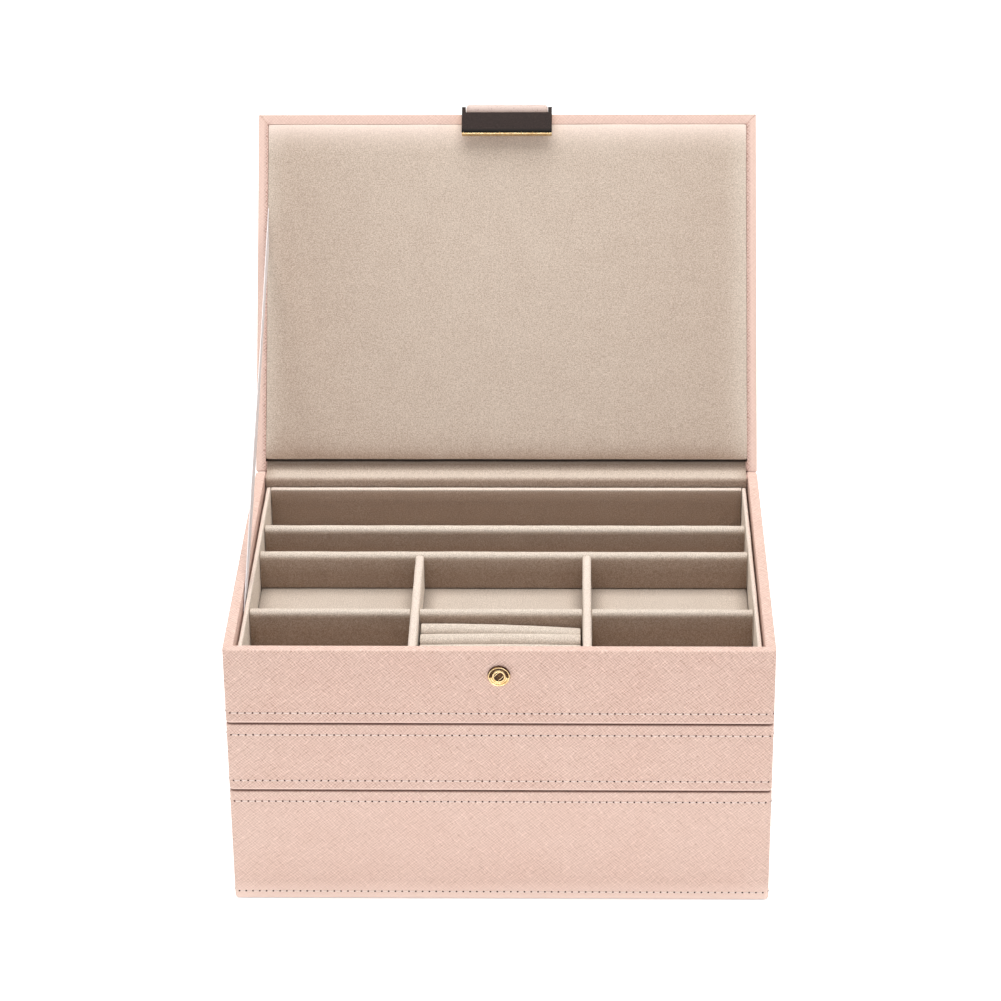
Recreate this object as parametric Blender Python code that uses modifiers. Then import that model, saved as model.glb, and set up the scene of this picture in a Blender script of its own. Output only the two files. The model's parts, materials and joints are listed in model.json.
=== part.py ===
"""Tiered jewelry box: three stacking trays under a hinged, padded lid.

The origin is the centre of the lower tier's underside. X runs to the right, Y to the back
and Z up, in metres. The lid is built as if shut, in the frame of its hinge, and then turned
open. The tab at the lid's front edge is built hanging, in the frame of its fold.
"""

import math
from dataclasses import dataclass

import bmesh
import bpy
from mathutils import Matrix, Vector

MM = 0.001

# The box as a whole
BOX_LENGTH = 250.0 * MM
BOX_DEPTH = 180.0 * MM
LOWER_HEIGHT = 59.5 * MM
MIDDLE_HEIGHT = 35.5 * MM
UPPER_HEIGHT = 38.2 * MM
WALL = 4.8 * MM
CORNER_RADIUS = 2.2 * MM
RIM_ROUND = 0.8 * MM

# Clearances
FIT_GAP = 0.3 * MM
STACK_GAP = 0.3 * MM
CUT_OVERRUN = 1.0 * MM

# Boards under each tier
BASE_BOARD = 4.0 * MM
BOARD_ROUND = 0.4 * MM
PLINTH_SIDE_GAP = 0.5 * MM
PLINTH_HEAD_GAP = 1.3 * MM
UNDERLAY = 6.7 * MM
FLOOR_PANEL = 1.5 * MM

# Velvet-covered lining
LINER = 2.0 * MM
REAR_LINER = 2.6 * MM
LINER_GAP = 1.0 * MM
HINGE_CLOTH_GAP = 3.0 * MM
LINER_BELOW_RIM = 5.0 * MM
LINER_ROUND = 0.8 * MM

# Velvet-covered dividers
DIVIDER = 4.0 * MM
DIVIDER_BELOW_LINER = 1.8 * MM
DIVIDER_ROUND = 1.5 * MM

# Compartments of the upper tier, front to back and across
FRONT_ROW = 39.7 * MM
SECOND_SLOT = 23.2 * MM
REAR_SLOT = 34.3 * MM
CENTRE_COLUMN = 76.0 * MM

# Compartments of the two tiers below
MIDDLE_FRONT_ROW = 79.0 * MM
MIDDLE_CENTRE_COLUMN = 74.0 * MM
MIDDLE_REAR_OFFSET = 38.0 * MM
LOWER_FRONT_ROW = 92.0 * MM
LOWER_LEFT_COLUMN = 132.0 * MM

# Ring rolls
ROLL_COUNT = 4
ROLL_BELOW_DIVIDERS = 3.2 * MM
REAR_ROLL_SAG = 2.6 * MM
ROLL_SIDES = 12
ROLL_RINGS = 4
ROLL_END_DRAW_SHARE = 0.12
ROLL_FOOT_SQUARE_SHARE = 0.4

# Press stud in the upper tier's front wall
STUD_BELOW_RIM = 12.8 * MM
STUD_RADIUS = 5.2 * MM
STUD_HEIGHT = 1.3 * MM
STUD_BORE = 2.1 * MM
RIVET_RADIUS = 2.0 * MM
RIVET_BORE = 1.4 * MM
RIVET_FLANGE_RADIUS = 4.0 * MM
RIVET_FLANGE = 0.4 * MM
TURNED_STEPS = 40

# Lid
LID_THICKNESS = 17.0 * MM
LID_TOP = 3.0 * MM
LID_FRONT_SETBACK = 0.3 * MM
LID_SEAT_GAP = 0.6 * MM
LID_OPEN_ANGLE = math.radians(121.1)
HINGE_REBATE = 1.3 * MM
PAD_GAP = 1.0 * MM
PAD_BOARD = 3.0 * MM
PAD_CROWN = 0.35 * MM
PAD_SIDE_DRAW = 0.4 * MM
PAD_CUTS_ACROSS = 8
PAD_CUTS_ALONG = 6
PAD_EDGE_POWER = 1.7

# Cloth hinge: velvet inside, leatherette outside
CLOTH = 0.4 * MM
CLOTH_END_GAP = 0.7 * MM
CLOTH_TUCK = 11.0 * MM
CLOTH_LID_TUCK = 6.0 * MM
CLOTH_BEND = 1.1 * MM
SPINE = 0.6 * MM
SPINE_END_GAP = 4.0 * MM
SPINE_DROP = 14.0 * MM
SPINE_RISE = 12.5 * MM
SPINE_BEND = 0.7 * MM
BEND_STEPS = 5
CLOTH_TURN_SHARE = 1 / 3

# Stay ribbon
RIBBON_WIDTH = 10.0 * MM
RIBBON = 0.4 * MM
RIBBON_FROM_FRONT = 61.5 * MM
RIBBON_FROM_HINGE = 121.5 * MM
RIBBON_TUCK = 12.0 * MM

# Tab: strap, plate and snap post
STRAP_WIDTH = 41.0 * MM
STRAP = 1.2 * MM
STRAP_ROOT = 14.0 * MM
STRAP_SWEEP = 3.0 * MM
STRAP_BEND = 1.4 * MM
STRAP_MOUTH_RUN = 1.1 * MM
STRAP_FLARE = math.radians(50.0)
TAB_FOLD = math.radians(69.0)
TAB_REACH = 4.7 * MM
TAB_DROP = 1.9 * MM
TAB_SHUT_LEAN = math.radians(12.0)
PLATE_WIDTH = 45.0 * MM
PLATE_HEIGHT = 15.0 * MM
PLATE_SKIN = 0.4 * MM
PLATE_FOOT = 1.2 * MM
PLATE_BEHIND_PIVOT = 0.4 * MM
NOTCH_DEPTH = 3.1 * MM
ENAMEL = 0.5 * MM
ENAMEL_MARGIN = 0.4 * MM
SNAP_BELOW_PLATE_TOP = 9.5 * MM
SNAP_DISC_RADIUS = 4.2 * MM
SNAP_DISC = 0.5 * MM
SNAP_POST_RADIUS = 1.4 * MM
SNAP_POST = 1.0 * MM
SMALL_ROUND = 0.15 * MM

# How finely rounded edges are drawn
CORNER_STEPS = 4
EDGE_STEPS = 2
TOP_STEPS = 3
SHARP_ANGLE = math.radians(40.0)
STUD_HOLE_SIDES = 24
MERGE_DISTANCE = 0.01 * MM

# Heights and places that follow from the sizes above
PLINTH_DROP = LINER_BELOW_RIM - PLINTH_HEAD_GAP
MIDDLE_BASE = LOWER_HEIGHT + STACK_GAP
UPPER_BASE = MIDDLE_BASE + MIDDLE_HEIGHT + STACK_GAP
LID_DEPTH = BOX_DEPTH - LID_FRONT_SETBACK
LID_RIM = LID_SEAT_GAP / 2
LID_RECESS = LID_THICKNESS - LID_TOP
LID_LEFT_SLOT = BOX_LENGTH / 2 - WALL - LINER_GAP / 2
PLATE_POCKET = STRAP + 2 * FIT_GAP
PLATE_BODY = PLATE_POCKET + 2 * PLATE_SKIN
STRAP_LINE = PLATE_BEHIND_PIVOT + PLATE_SKIN + PLATE_POCKET / 2
SNAP_SEAT = PLATE_BEHIND_PIVOT + PLATE_BODY + FIT_GAP
TAB_PIVOT = Vector((0, -(LID_DEPTH + TAB_REACH), LID_RIM - TAB_DROP))


@dataclass(frozen=True)
class Finish:
    """The look of one material, with its colour as a screen shows it."""

    name: str
    colour: tuple
    roughness: float
    metallic: float = 0.0


@dataclass(frozen=True)
class Well:
    """The lined space inside one tier, measured in that tier's frame."""

    left: float
    right: float
    front: float
    rear: float
    floor: float
    divider_top: float


LEATHERETTE = Finish("blush_leatherette", (232, 200, 187), 0.55)
VELVET = Finish("champagne_velvet", (203, 187, 168), 0.9)
SATIN = Finish("grey_satin_ribbon", (196, 190, 184), 0.4)
STRAP_LEATHER = Finish("pale_strap_leather", (232, 205, 198), 0.7)
GOLD = Finish("pale_gold", (214, 178, 112), 0.25, 1.0)
ENAMEL_GLOSS = Finish("dark_enamel", (60, 46, 42), 0.15)
BOARD = Finish("grey_board", (150, 142, 132), 0.85)
FOAM = Finish("cream_foam", (222, 214, 196), 0.95)


def clear_scene():
    """Remove every object, mesh and collection left from before."""
    for obj in list(bpy.data.objects):
        bpy.data.objects.remove(obj, do_unlink=True)
    for mesh in list(bpy.data.meshes):
        bpy.data.meshes.remove(mesh)
    for collection in list(bpy.data.collections):
        bpy.data.collections.remove(collection)


def new_collection(name):
    """Make a collection in the scene."""
    collection = bpy.data.collections.new(name)
    bpy.context.scene.collection.children.link(collection)
    return collection


def screen_to_linear(channel):
    """Turn one 0 to 255 screen value into the linear value a shader takes."""
    value = channel / 255
    if value <= 0.04045:
        return value / 12.92
    return ((value + 0.055) / 1.055) ** 2.4


def material_for(finish):
    """Return the finish's Principled material, made on first use."""
    material = bpy.data.materials.get(finish.name)
    if material is None:
        material = bpy.data.materials.new(finish.name)
        material.use_nodes = True
        shader = material.node_tree.nodes["Principled BSDF"]
        colour = [screen_to_linear(channel) for channel in finish.colour]
        shader.inputs["Base Color"].default_value = (*colour, 1.0)
        shader.inputs["Roughness"].default_value = finish.roughness
        shader.inputs["Metallic"].default_value = finish.metallic
        material.diffuse_color = (*colour, 1.0)
    return material


def place(obj, collection, parent=None, finish=None):
    """Put an object in a collection, under its parent and with its finish."""
    for owner in list(obj.users_collection):
        owner.objects.unlink(obj)
    collection.objects.link(obj)
    if parent is not None:
        obj.parent = parent
    if finish is not None:
        obj.data.materials.clear()
        obj.data.materials.append(material_for(finish))
    return obj


def object_from(mesh, name, collection, parent, finish):
    """Make an object of an edit mesh, with its faces pointing out."""
    bmesh.ops.recalc_face_normals(mesh, faces=mesh.faces)
    data = bpy.data.meshes.new(name)
    mesh.to_mesh(data)
    mesh.free()
    obj = bpy.data.objects.new(name, data)
    return place(obj, collection, parent, finish)


def new_frame(name, collection, location, parent=None, turn=0.0):
    """Make an empty that carries one moving body, turned about X."""
    frame = bpy.data.objects.new(name, None)
    frame.location = location
    frame.rotation_euler = (turn, 0, 0)
    return place(frame, collection, parent)


def box_mesh(size):
    """An edit mesh of a box of the given size, centred on the origin."""
    mesh = bmesh.new()
    bmesh.ops.create_cube(mesh, size=1)
    bmesh.ops.scale(mesh, vec=size, verts=mesh.verts)
    return mesh


def round_edges_of(mesh, chosen, radius, steps):
    """Round the edges for which chosen(edge) is true."""
    edges = [edge for edge in mesh.edges if chosen(edge)]
    bmesh.ops.bevel(
        mesh, geom=edges, offset=radius, segments=steps, profile=0.5, affect="EDGES"
    )


def add_edge_round(obj, radius, steps=1):
    """Round every sharp edge of an object with a Bevel modifier."""
    bevel = obj.modifiers.new("Rounded edges", "BEVEL")
    bevel.width = radius
    bevel.segments = steps
    bevel.limit_method = "ANGLE"
    bevel.angle_limit = SHARP_ANGLE


def add_board(name, low, high, finish, collection, parent, radius=BOARD_ROUND):
    """A flat board between two corners of its parent's frame."""
    size = high - low
    board = object_from(box_mesh(size), name, collection, parent, finish)
    board.location = (low + high) / 2
    add_edge_round(board, radius)
    return board


def add_panel(name, low, high, radius, collection, parent):
    """A standing velvet panel with a rounded top, between two corners."""
    size = high - low
    mesh = box_mesh(size)
    top = size.z / 2 - MERGE_DISTANCE

    def on_top(edge):
        return all(vert.co.z > top for vert in edge.verts)

    round_edges_of(mesh, on_top, radius, TOP_STEPS)
    panel = object_from(mesh, name, collection, parent, VELVET)
    panel.location = (low + high) / 2
    panel.data.shade_smooth()
    panel.data.set_sharp_from_angle(angle=SHARP_ANGLE)
    return panel


def upright_corner(edge):
    """True for an outer upright corner edge of a tier or the lid."""
    return all(
        abs(vert.co.x) > BOX_LENGTH / 2 - MERGE_DISTANCE for vert in edge.verts
    ) and abs(edge.verts[0].co.z - edge.verts[1].co.z) > MERGE_DISTANCE


def add_cutter(name, mesh, location, cutters, parent):
    """A shape that is only cut away from others, drawn as wire."""
    cutter = object_from(mesh, name, cutters, parent, None)
    cutter.location = location
    cutter.hide_render = True
    cutter.display_type = "WIRE"
    return cutter


def cut(obj, cutter):
    """Take a cutter's shape out of an object."""
    boolean = obj.modifiers.new(cutter.name, "BOOLEAN")
    boolean.operation = "DIFFERENCE"
    boolean.solver = "EXACT"
    boolean.object = cutter


def turned_object(name, profile, collection, parent, finish):
    """Turn a profile of (radius, height) points right round its axis."""
    mesh = bmesh.new()
    verts = [mesh.verts.new((radius, 0, height)) for radius, height in profile]
    for first, second in zip(verts, verts[1:]):
        mesh.edges.new((first, second))
    if profile[0][0] > 0:
        mesh.edges.new((verts[-1], verts[0]))
    data = bpy.data.meshes.new(name)
    mesh.to_mesh(data)
    mesh.free()
    obj = bpy.data.objects.new(name, data)
    screw = obj.modifiers.new("Turned", "SCREW")
    screw.steps = TURNED_STEPS
    screw.render_steps = TURNED_STEPS
    screw.use_merge_vertices = True
    screw.merge_threshold = MERGE_DISTANCE
    screw.use_smooth_shade = True
    return place(obj, collection, parent, finish)


def arc_points(centre, radius, start, end, steps):
    """Points of an arc in the plane of Y and Z, between two angles."""
    points = []
    for index in range(steps + 1):
        angle = start + (end - start) * index / steps
        points.append(
            (centre[0] + radius * math.cos(angle), centre[1] + radius * math.sin(angle))
        )
    return points


def add_sheet(name, profile, width, thickness, finish, collection, parent):
    """A bent sheet: a line of (y, z) points drawn out along X and thickened."""
    mesh = bmesh.new()
    verts = [mesh.verts.new((-width / 2, y, z)) for y, z in profile]
    edges = [mesh.edges.new(pair) for pair in zip(verts, verts[1:])]
    drawn = bmesh.ops.extrude_edge_only(mesh, edges=edges)
    moved = [item for item in drawn["geom"] if isinstance(item, bmesh.types.BMVert)]
    bmesh.ops.translate(mesh, vec=(width, 0, 0), verts=moved)
    sheet = object_from(mesh, name, collection, parent, finish)
    solid = sheet.modifiers.new("Thickness", "SOLIDIFY")
    solid.thickness = thickness
    solid.offset = 0
    solid.use_even_offset = True
    sheet.data.shade_smooth()
    return sheet


def add_wall_ring(name, height, collection, parent):
    """The four joined walls of a tier, mitred at their corners."""
    mesh = box_mesh(Vector((BOX_LENGTH, BOX_DEPTH, height)))
    bmesh.ops.translate(mesh, vec=(0, 0, height / 2), verts=mesh.verts)
    flats = [face for face in mesh.faces if abs(face.normal.z) > abs(face.normal.x)]
    flats = [face for face in flats if abs(face.normal.z) > abs(face.normal.y)]
    bmesh.ops.inset_individual(mesh, faces=flats, thickness=WALL, use_even_offset=True)
    inner = [edge for face in flats for edge in face.edges]
    bmesh.ops.delete(mesh, geom=flats, context="FACES_ONLY")
    bmesh.ops.bridge_loops(mesh, edges=inner)
    round_edges_of(mesh, upright_corner, CORNER_RADIUS, CORNER_STEPS)
    ring = object_from(mesh, name, collection, parent, LEATHERETTE)
    add_edge_round(ring, RIM_ROUND, EDGE_STEPS)
    return ring


def add_base(tier, collection, frame, with_plinth):
    """The base board inside a tier's walls, and the plinth that locates it."""
    half_length = BOX_LENGTH / 2 - WALL
    half_depth = BOX_DEPTH / 2 - WALL
    corner = Vector((half_length - FIT_GAP, half_depth - FIT_GAP, BASE_BOARD))
    low = Vector((-corner.x, -corner.y, 0))
    add_board(f"{tier}_base_board", low, corner, BOARD, collection, frame)
    if with_plinth:
        reach = Vector((half_length - PLINTH_SIDE_GAP, half_depth - PLINTH_SIDE_GAP, 0))
        low = Vector((-reach.x, -reach.y, -PLINTH_DROP))
        high = Vector((reach.x, reach.y, -FIT_GAP))
        add_board(f"{tier}_plinth", low, high, BOARD, collection, frame)


def add_lining(tier, height, floor, rear_gap, rear_liner, collection, frame):
    """The floor panel and four liner panels of a tier.

    Returns the Well that they leave free.
    """
    outer_x = BOX_LENGTH / 2 - WALL - LINER_GAP
    outer_front = -(BOX_DEPTH / 2 - WALL - LINER_GAP)
    outer_rear = BOX_DEPTH / 2 - WALL - rear_gap
    well = Well(
        left=-(outer_x - LINER),
        right=outer_x - LINER,
        front=outer_front + LINER,
        rear=outer_rear - rear_liner,
        floor=floor,
        divider_top=height - LINER_BELOW_RIM - DIVIDER_BELOW_LINER,
    )
    foot = BASE_BOARD + FIT_GAP
    top = height - LINER_BELOW_RIM
    inner_x = well.right - FIT_GAP
    panels = {
        "left_liner": (-outer_x, well.left, outer_front, outer_rear),
        "right_liner": (well.right, outer_x, outer_front, outer_rear),
        "front_liner": (-inner_x, inner_x, outer_front, well.front),
        "rear_liner": (-inner_x, inner_x, well.rear, outer_rear),
    }
    for part, (left, right, front, rear) in panels.items():
        low = Vector((left, front, foot))
        high = Vector((right, rear, top))
        add_panel(f"{tier}_{part}", low, high, LINER_ROUND, collection, frame)
    low = Vector((-inner_x, well.front + FIT_GAP, floor - FLOOR_PANEL))
    high = Vector((inner_x, well.rear - FIT_GAP, floor))
    add_board(f"{tier}_floor_panel", low, high, VELVET, collection, frame)
    return well


def add_divider_across(name, well, front, left, right, collection, frame):
    """A divider that runs from left to right, its front face at front."""
    low = Vector((left + FIT_GAP, front, well.floor + FIT_GAP))
    high = Vector((right - FIT_GAP, front + DIVIDER, well.divider_top))
    add_panel(name, low, high, DIVIDER_ROUND, collection, frame)


def add_divider_along(name, well, left, front, rear, collection, frame):
    """A divider that runs from front to back, its left face at left."""
    low = Vector((left, front + FIT_GAP, well.floor + FIT_GAP))
    high = Vector((left + DIVIDER, rear - FIT_GAP, well.divider_top))
    add_panel(name, low, high, DIVIDER_ROUND, collection, frame)


def roll_section(angle, half_width, height):
    """A point of a roll's outline: round on top, square at its foot."""
    side = math.cos(angle)
    rise = math.sin(angle)
    if rise >= 0:
        return half_width * side, height - half_width * (1 - rise)
    square = math.copysign(abs(side) ** ROLL_FOOT_SQUARE_SHARE, side)
    foot = (height - half_width) * (1 - abs(rise) ** ROLL_FOOT_SQUARE_SHARE)
    return half_width * square, foot


def add_ring_roll(index, well, front, rear, sag, collection, frame):
    """One velvet roll of the ring holder, with drawn-in ends.

    The sag lowers its right end, as on the roll that sits badly in its place.
    """
    length = CENTRE_COLUMN - 2 * FIT_GAP
    half_width = (rear - front - FIT_GAP) / 2
    height = well.divider_top - ROLL_BELOW_DIVIDERS - well.floor - FIT_GAP
    mesh = bmesh.new()
    bmesh.ops.create_cone(
        mesh, cap_ends=True, segments=ROLL_SIDES, radius1=1, radius2=1, depth=1
    )
    uprights = [
        edge
        for edge in mesh.edges
        if edge.verts[0].co.z * edge.verts[1].co.z < 0
    ]
    bmesh.ops.subdivide_edges(mesh, edges=uprights, cuts=ROLL_RINGS, use_grid_fill=True)
    for vert in mesh.verts:
        end = 2 * vert.co.z
        angle = math.atan2(vert.co.y, vert.co.x)
        across, up = roll_section(angle, half_width, height)
        swell = 1 - ROLL_END_DRAW_SHARE * abs(end) ** 4
        lowered = sag * (end + 1) / 2 * up / height
        vert.co = (end * length / 2, across * swell, up * swell - lowered)
    roll = object_from(mesh, f"ring_roll_{index}", collection, frame, VELVET)
    roll.location = (0, (front + rear) / 2, well.floor + FIT_GAP)
    soften(roll)


def soften(obj):
    """Smooth a coarse cage into a soft form."""
    smooth = obj.modifiers.new("Soft form", "SUBSURF")
    smooth.levels = 1
    smooth.render_levels = 1
    obj.data.shade_smooth()


def build_lower_tier(collection, frame):
    """The deep bottom tier, which carries the others."""
    add_wall_ring("lower_shell", LOWER_HEIGHT, collection, frame)
    add_base("lower", collection, frame, with_plinth=False)
    floor = BASE_BOARD + FIT_GAP + FLOOR_PANEL
    well = add_lining(
        "lower", LOWER_HEIGHT, floor, LINER_GAP, LINER, collection, frame
    )
    middle = well.front + LOWER_FRONT_ROW
    add_divider_across(
        "lower_long_divider", well, middle, well.left, well.right, collection, frame
    )
    left = well.left + LOWER_LEFT_COLUMN
    add_divider_along(
        "lower_cross_divider", well, left, well.front, middle, collection, frame
    )


def build_middle_tier(collection, frame):
    """The shallow middle tier, with five compartments."""
    add_wall_ring("middle_shell", MIDDLE_HEIGHT, collection, frame)
    add_base("middle", collection, frame, with_plinth=True)
    floor = BASE_BOARD + FIT_GAP + FLOOR_PANEL
    well = add_lining(
        "middle", MIDDLE_HEIGHT, floor, LINER_GAP, LINER, collection, frame
    )
    middle = well.front + MIDDLE_FRONT_ROW
    add_divider_across(
        "middle_long_divider", well, middle, well.left, well.right, collection, frame
    )
    lefts = {
        "middle_left_cross_divider": -(MIDDLE_CENTRE_COLUMN / 2 + DIVIDER),
        "middle_right_cross_divider": MIDDLE_CENTRE_COLUMN / 2,
    }
    for name, left in lefts.items():
        add_divider_along(name, well, left, well.front, middle, collection, frame)
    add_divider_along(
        "middle_rear_cross_divider",
        well,
        MIDDLE_REAR_OFFSET,
        middle + DIVIDER,
        well.rear,
        collection,
        frame,
    )


def build_upper_tier(collection, cutters, frame):
    """The top tier: its walls, lining, dividers, ring rolls and stud."""
    shell = add_wall_ring("upper_shell", UPPER_HEIGHT, collection, frame)
    cut(shell, hinge_rebate_cutter(cutters, frame))
    cut(shell, stud_hole_cutter(cutters, frame))
    add_base("upper", collection, frame, with_plinth=True)
    underlay_foot = BASE_BOARD + FIT_GAP
    underlay_top = underlay_foot + UNDERLAY
    floor = underlay_top + FIT_GAP + FLOOR_PANEL
    well = add_lining(
        "upper", UPPER_HEIGHT, floor, HINGE_CLOTH_GAP, REAR_LINER, collection, frame
    )
    low = Vector((well.left + FIT_GAP, well.front + FIT_GAP, underlay_foot))
    high = Vector((well.right - FIT_GAP, well.rear - FIT_GAP, underlay_top))
    add_board("upper_foam_underlay", low, high, FOAM, collection, frame)
    add_upper_dividers(well, collection, frame)
    add_press_stud(collection, frame)


def add_upper_dividers(well, collection, frame):
    """The dividers of the upper tier, and the ring rolls between them."""
    rear_divider = well.rear - REAR_SLOT - DIVIDER
    second_divider = rear_divider - SECOND_SLOT - DIVIDER
    row_divider = well.front + FRONT_ROW
    for name, front in (
        ("rear_long_divider", rear_divider),
        ("second_long_divider", second_divider),
    ):
        add_divider_across(name, well, front, well.left, well.right, collection, frame)
    left_column = -(CENTRE_COLUMN / 2 + DIVIDER)
    right_column = CENTRE_COLUMN / 2
    for name, left in (
        ("left_column_divider", left_column),
        ("right_column_divider", right_column),
    ):
        add_divider_along(name, well, left, well.front, second_divider, collection, frame)
    for name, left, right in (
        ("left_row_divider", well.left, left_column),
        ("centre_row_divider", left_column + DIVIDER, right_column),
        ("right_row_divider", right_column + DIVIDER, well.right),
    ):
        add_divider_across(name, well, row_divider, left, right, collection, frame)
    pitch = FRONT_ROW / ROLL_COUNT
    for index in range(ROLL_COUNT):
        rear = row_divider - index * pitch
        sag = REAR_ROLL_SAG if index == 0 else 0
        add_ring_roll(index + 1, well, rear - pitch, rear, sag, collection, frame)


def hinge_rebate_cutter(cutters, frame):
    """The shallow step in the rear wall's top that the hinge cloth lies in."""
    length = BOX_LENGTH - 2 * WALL
    mesh = box_mesh(Vector((length, WALL + 2 * CUT_OVERRUN, HINGE_REBATE * 2)))
    location = (0, (BOX_DEPTH - WALL) / 2, UPPER_HEIGHT)
    return add_cutter("rear_wall_rebate", mesh, location, cutters, frame)


def stud_hole_cutter(cutters, frame):
    """The hole through the front wall for the stud's rivet."""
    mesh = bmesh.new()
    hole = RIVET_RADIUS + FIT_GAP
    bmesh.ops.create_cone(
        mesh,
        cap_ends=True,
        segments=STUD_HOLE_SIDES,
        radius1=hole,
        radius2=hole,
        depth=WALL + 2 * CUT_OVERRUN,
    )
    bmesh.ops.rotate(mesh, matrix=Matrix.Rotation(math.pi / 2, 3, "X"), verts=mesh.verts)
    location = (0, -(BOX_DEPTH - WALL) / 2, UPPER_HEIGHT - STUD_BELOW_RIM)
    return add_cutter("stud_hole", mesh, location, cutters, frame)


def add_press_stud(collection, frame):
    """The stud's ring on the front wall, and the rivet that holds it."""
    height = UPPER_HEIGHT - STUD_BELOW_RIM
    ring_shares = (
        (1.0, 0.0),
        (1.0, 0.35),
        (0.93, 0.75),
        (0.82, 1.0),
        (0.71, 0.8),
        (0.65, 0.6),
        (0.59, 0.8),
        (0.52, 1.0),
        (0.45, 0.85),
    )
    ring = [(STUD_RADIUS * across, STUD_HEIGHT * up) for across, up in ring_shares]
    ring += [(STUD_BORE, STUD_HEIGHT / 2), (STUD_BORE, 0)]
    cap = turned_object("press_stud_cap", ring[::-1], collection, frame, GOLD)
    cap.rotation_euler = (math.pi / 2, 0, 0)
    cap.location = (0, -(BOX_DEPTH / 2 + FIT_GAP), height)
    barrel = WALL + FIT_GAP
    rivet = [
        (RIVET_BORE, 0),
        (RIVET_RADIUS, 0),
        (RIVET_RADIUS, -barrel),
        (RIVET_FLANGE_RADIUS, -barrel),
        (RIVET_FLANGE_RADIUS, -barrel - RIVET_FLANGE),
        (RIVET_BORE, -barrel - RIVET_FLANGE),
    ]
    held = turned_object("press_stud_rivet", rivet, collection, frame, GOLD)
    held.rotation_euler = (math.pi / 2, 0, 0)
    held.location = (0, -BOX_DEPTH / 2, height)


def build_lid(collection, cutters, frame):
    """The lid's shell, the board in its recess and its velvet pad."""
    mesh = box_mesh(Vector((BOX_LENGTH, LID_DEPTH, LID_THICKNESS)))
    centre = Vector((0, -LID_DEPTH / 2, LID_RIM + LID_THICKNESS / 2))
    under = [face for face in mesh.faces if face.normal.z < -abs(face.normal.x)]
    under = [face for face in under if face.normal.z < -abs(face.normal.y)]
    bmesh.ops.inset_individual(mesh, faces=under, thickness=WALL, use_even_offset=True)
    bmesh.ops.inset_individual(mesh, faces=under, thickness=0, depth=-LID_RECESS)
    round_edges_of(mesh, upright_corner, CORNER_RADIUS, CORNER_STEPS)
    shell = object_from(mesh, "lid_shell", collection, frame, LEATHERETTE)
    shell.location = centre
    add_edge_round(shell, RIM_ROUND, EDGE_STEPS)
    cutter = box_mesh(
        Vector((BOX_LENGTH - 2 * WALL, WALL + 2 * CUT_OVERRUN, HINGE_REBATE * 2))
    )
    cut(
        shell,
        add_cutter("lid_rebate", cutter, (0, -WALL / 2, LID_RIM), cutters, frame),
    )
    edge = WALL + PAD_GAP
    low = Vector((-BOX_LENGTH / 2 + edge, -LID_DEPTH + edge, 0))
    high = Vector((BOX_LENGTH / 2 - edge, -edge, 0))
    board_top = LID_RIM + LID_RECESS - FIT_GAP
    board_foot = board_top - PAD_BOARD
    add_board(
        "lid_pad_board",
        Vector((low.x, low.y, board_foot)),
        Vector((high.x, high.y, board_top)),
        BOARD,
        collection,
        frame,
    )
    low.z = LID_RIM
    high.z = board_foot - FIT_GAP
    add_lid_pad(low, high, collection, frame)


def toward_edges(share):
    """Move a place between -1 and 1 nearer to the edge it is closest to."""
    return math.copysign(1 - (1 - abs(share)) ** PAD_EDGE_POWER, share)


def add_lid_pad(low, high, collection, frame):
    """The lid's velvet pad: a crowned face, soft edges, drawn-in sides."""
    size = high - low
    mesh = box_mesh(size)
    for axis, cuts in ((0, PAD_CUTS_ACROSS), (1, PAD_CUTS_ALONG), (2, 1)):
        edges = [
            edge
            for edge in mesh.edges
            if abs(edge.verts[0].co[axis] - edge.verts[1].co[axis]) > size[axis] / 2
        ]
        bmesh.ops.subdivide_edges(mesh, edges=edges, cuts=cuts, use_grid_fill=True)
    for vert in mesh.verts:
        across = toward_edges(vert.co.x / (size.x / 2))
        along = toward_edges(vert.co.y / (size.y / 2))
        crown = PAD_CROWN * (1 - across**4) * (1 - along**4)
        vert.co.x = across * (size.x / 2 - PAD_SIDE_DRAW * (1 - along * along))
        vert.co.y = along * (size.y / 2 - PAD_SIDE_DRAW * (1 - across * across))
        if vert.co.z < 0:
            vert.co.z -= crown
    pad = object_from(mesh, "lid_pad", collection, frame, VELVET)
    pad.location = (low + high) / 2
    soften(pad)


def in_tier(point):
    """Take a (y, z) place from the shut lid's frame to the upper tier's."""
    turn = Matrix.Rotation(-LID_OPEN_ANGLE, 3, "X")
    hinge = Vector((0, BOX_DEPTH / 2, UPPER_HEIGHT + LID_RIM))
    moved = turn @ Vector((0, *point)) + hinge
    return moved.y, moved.z


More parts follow.
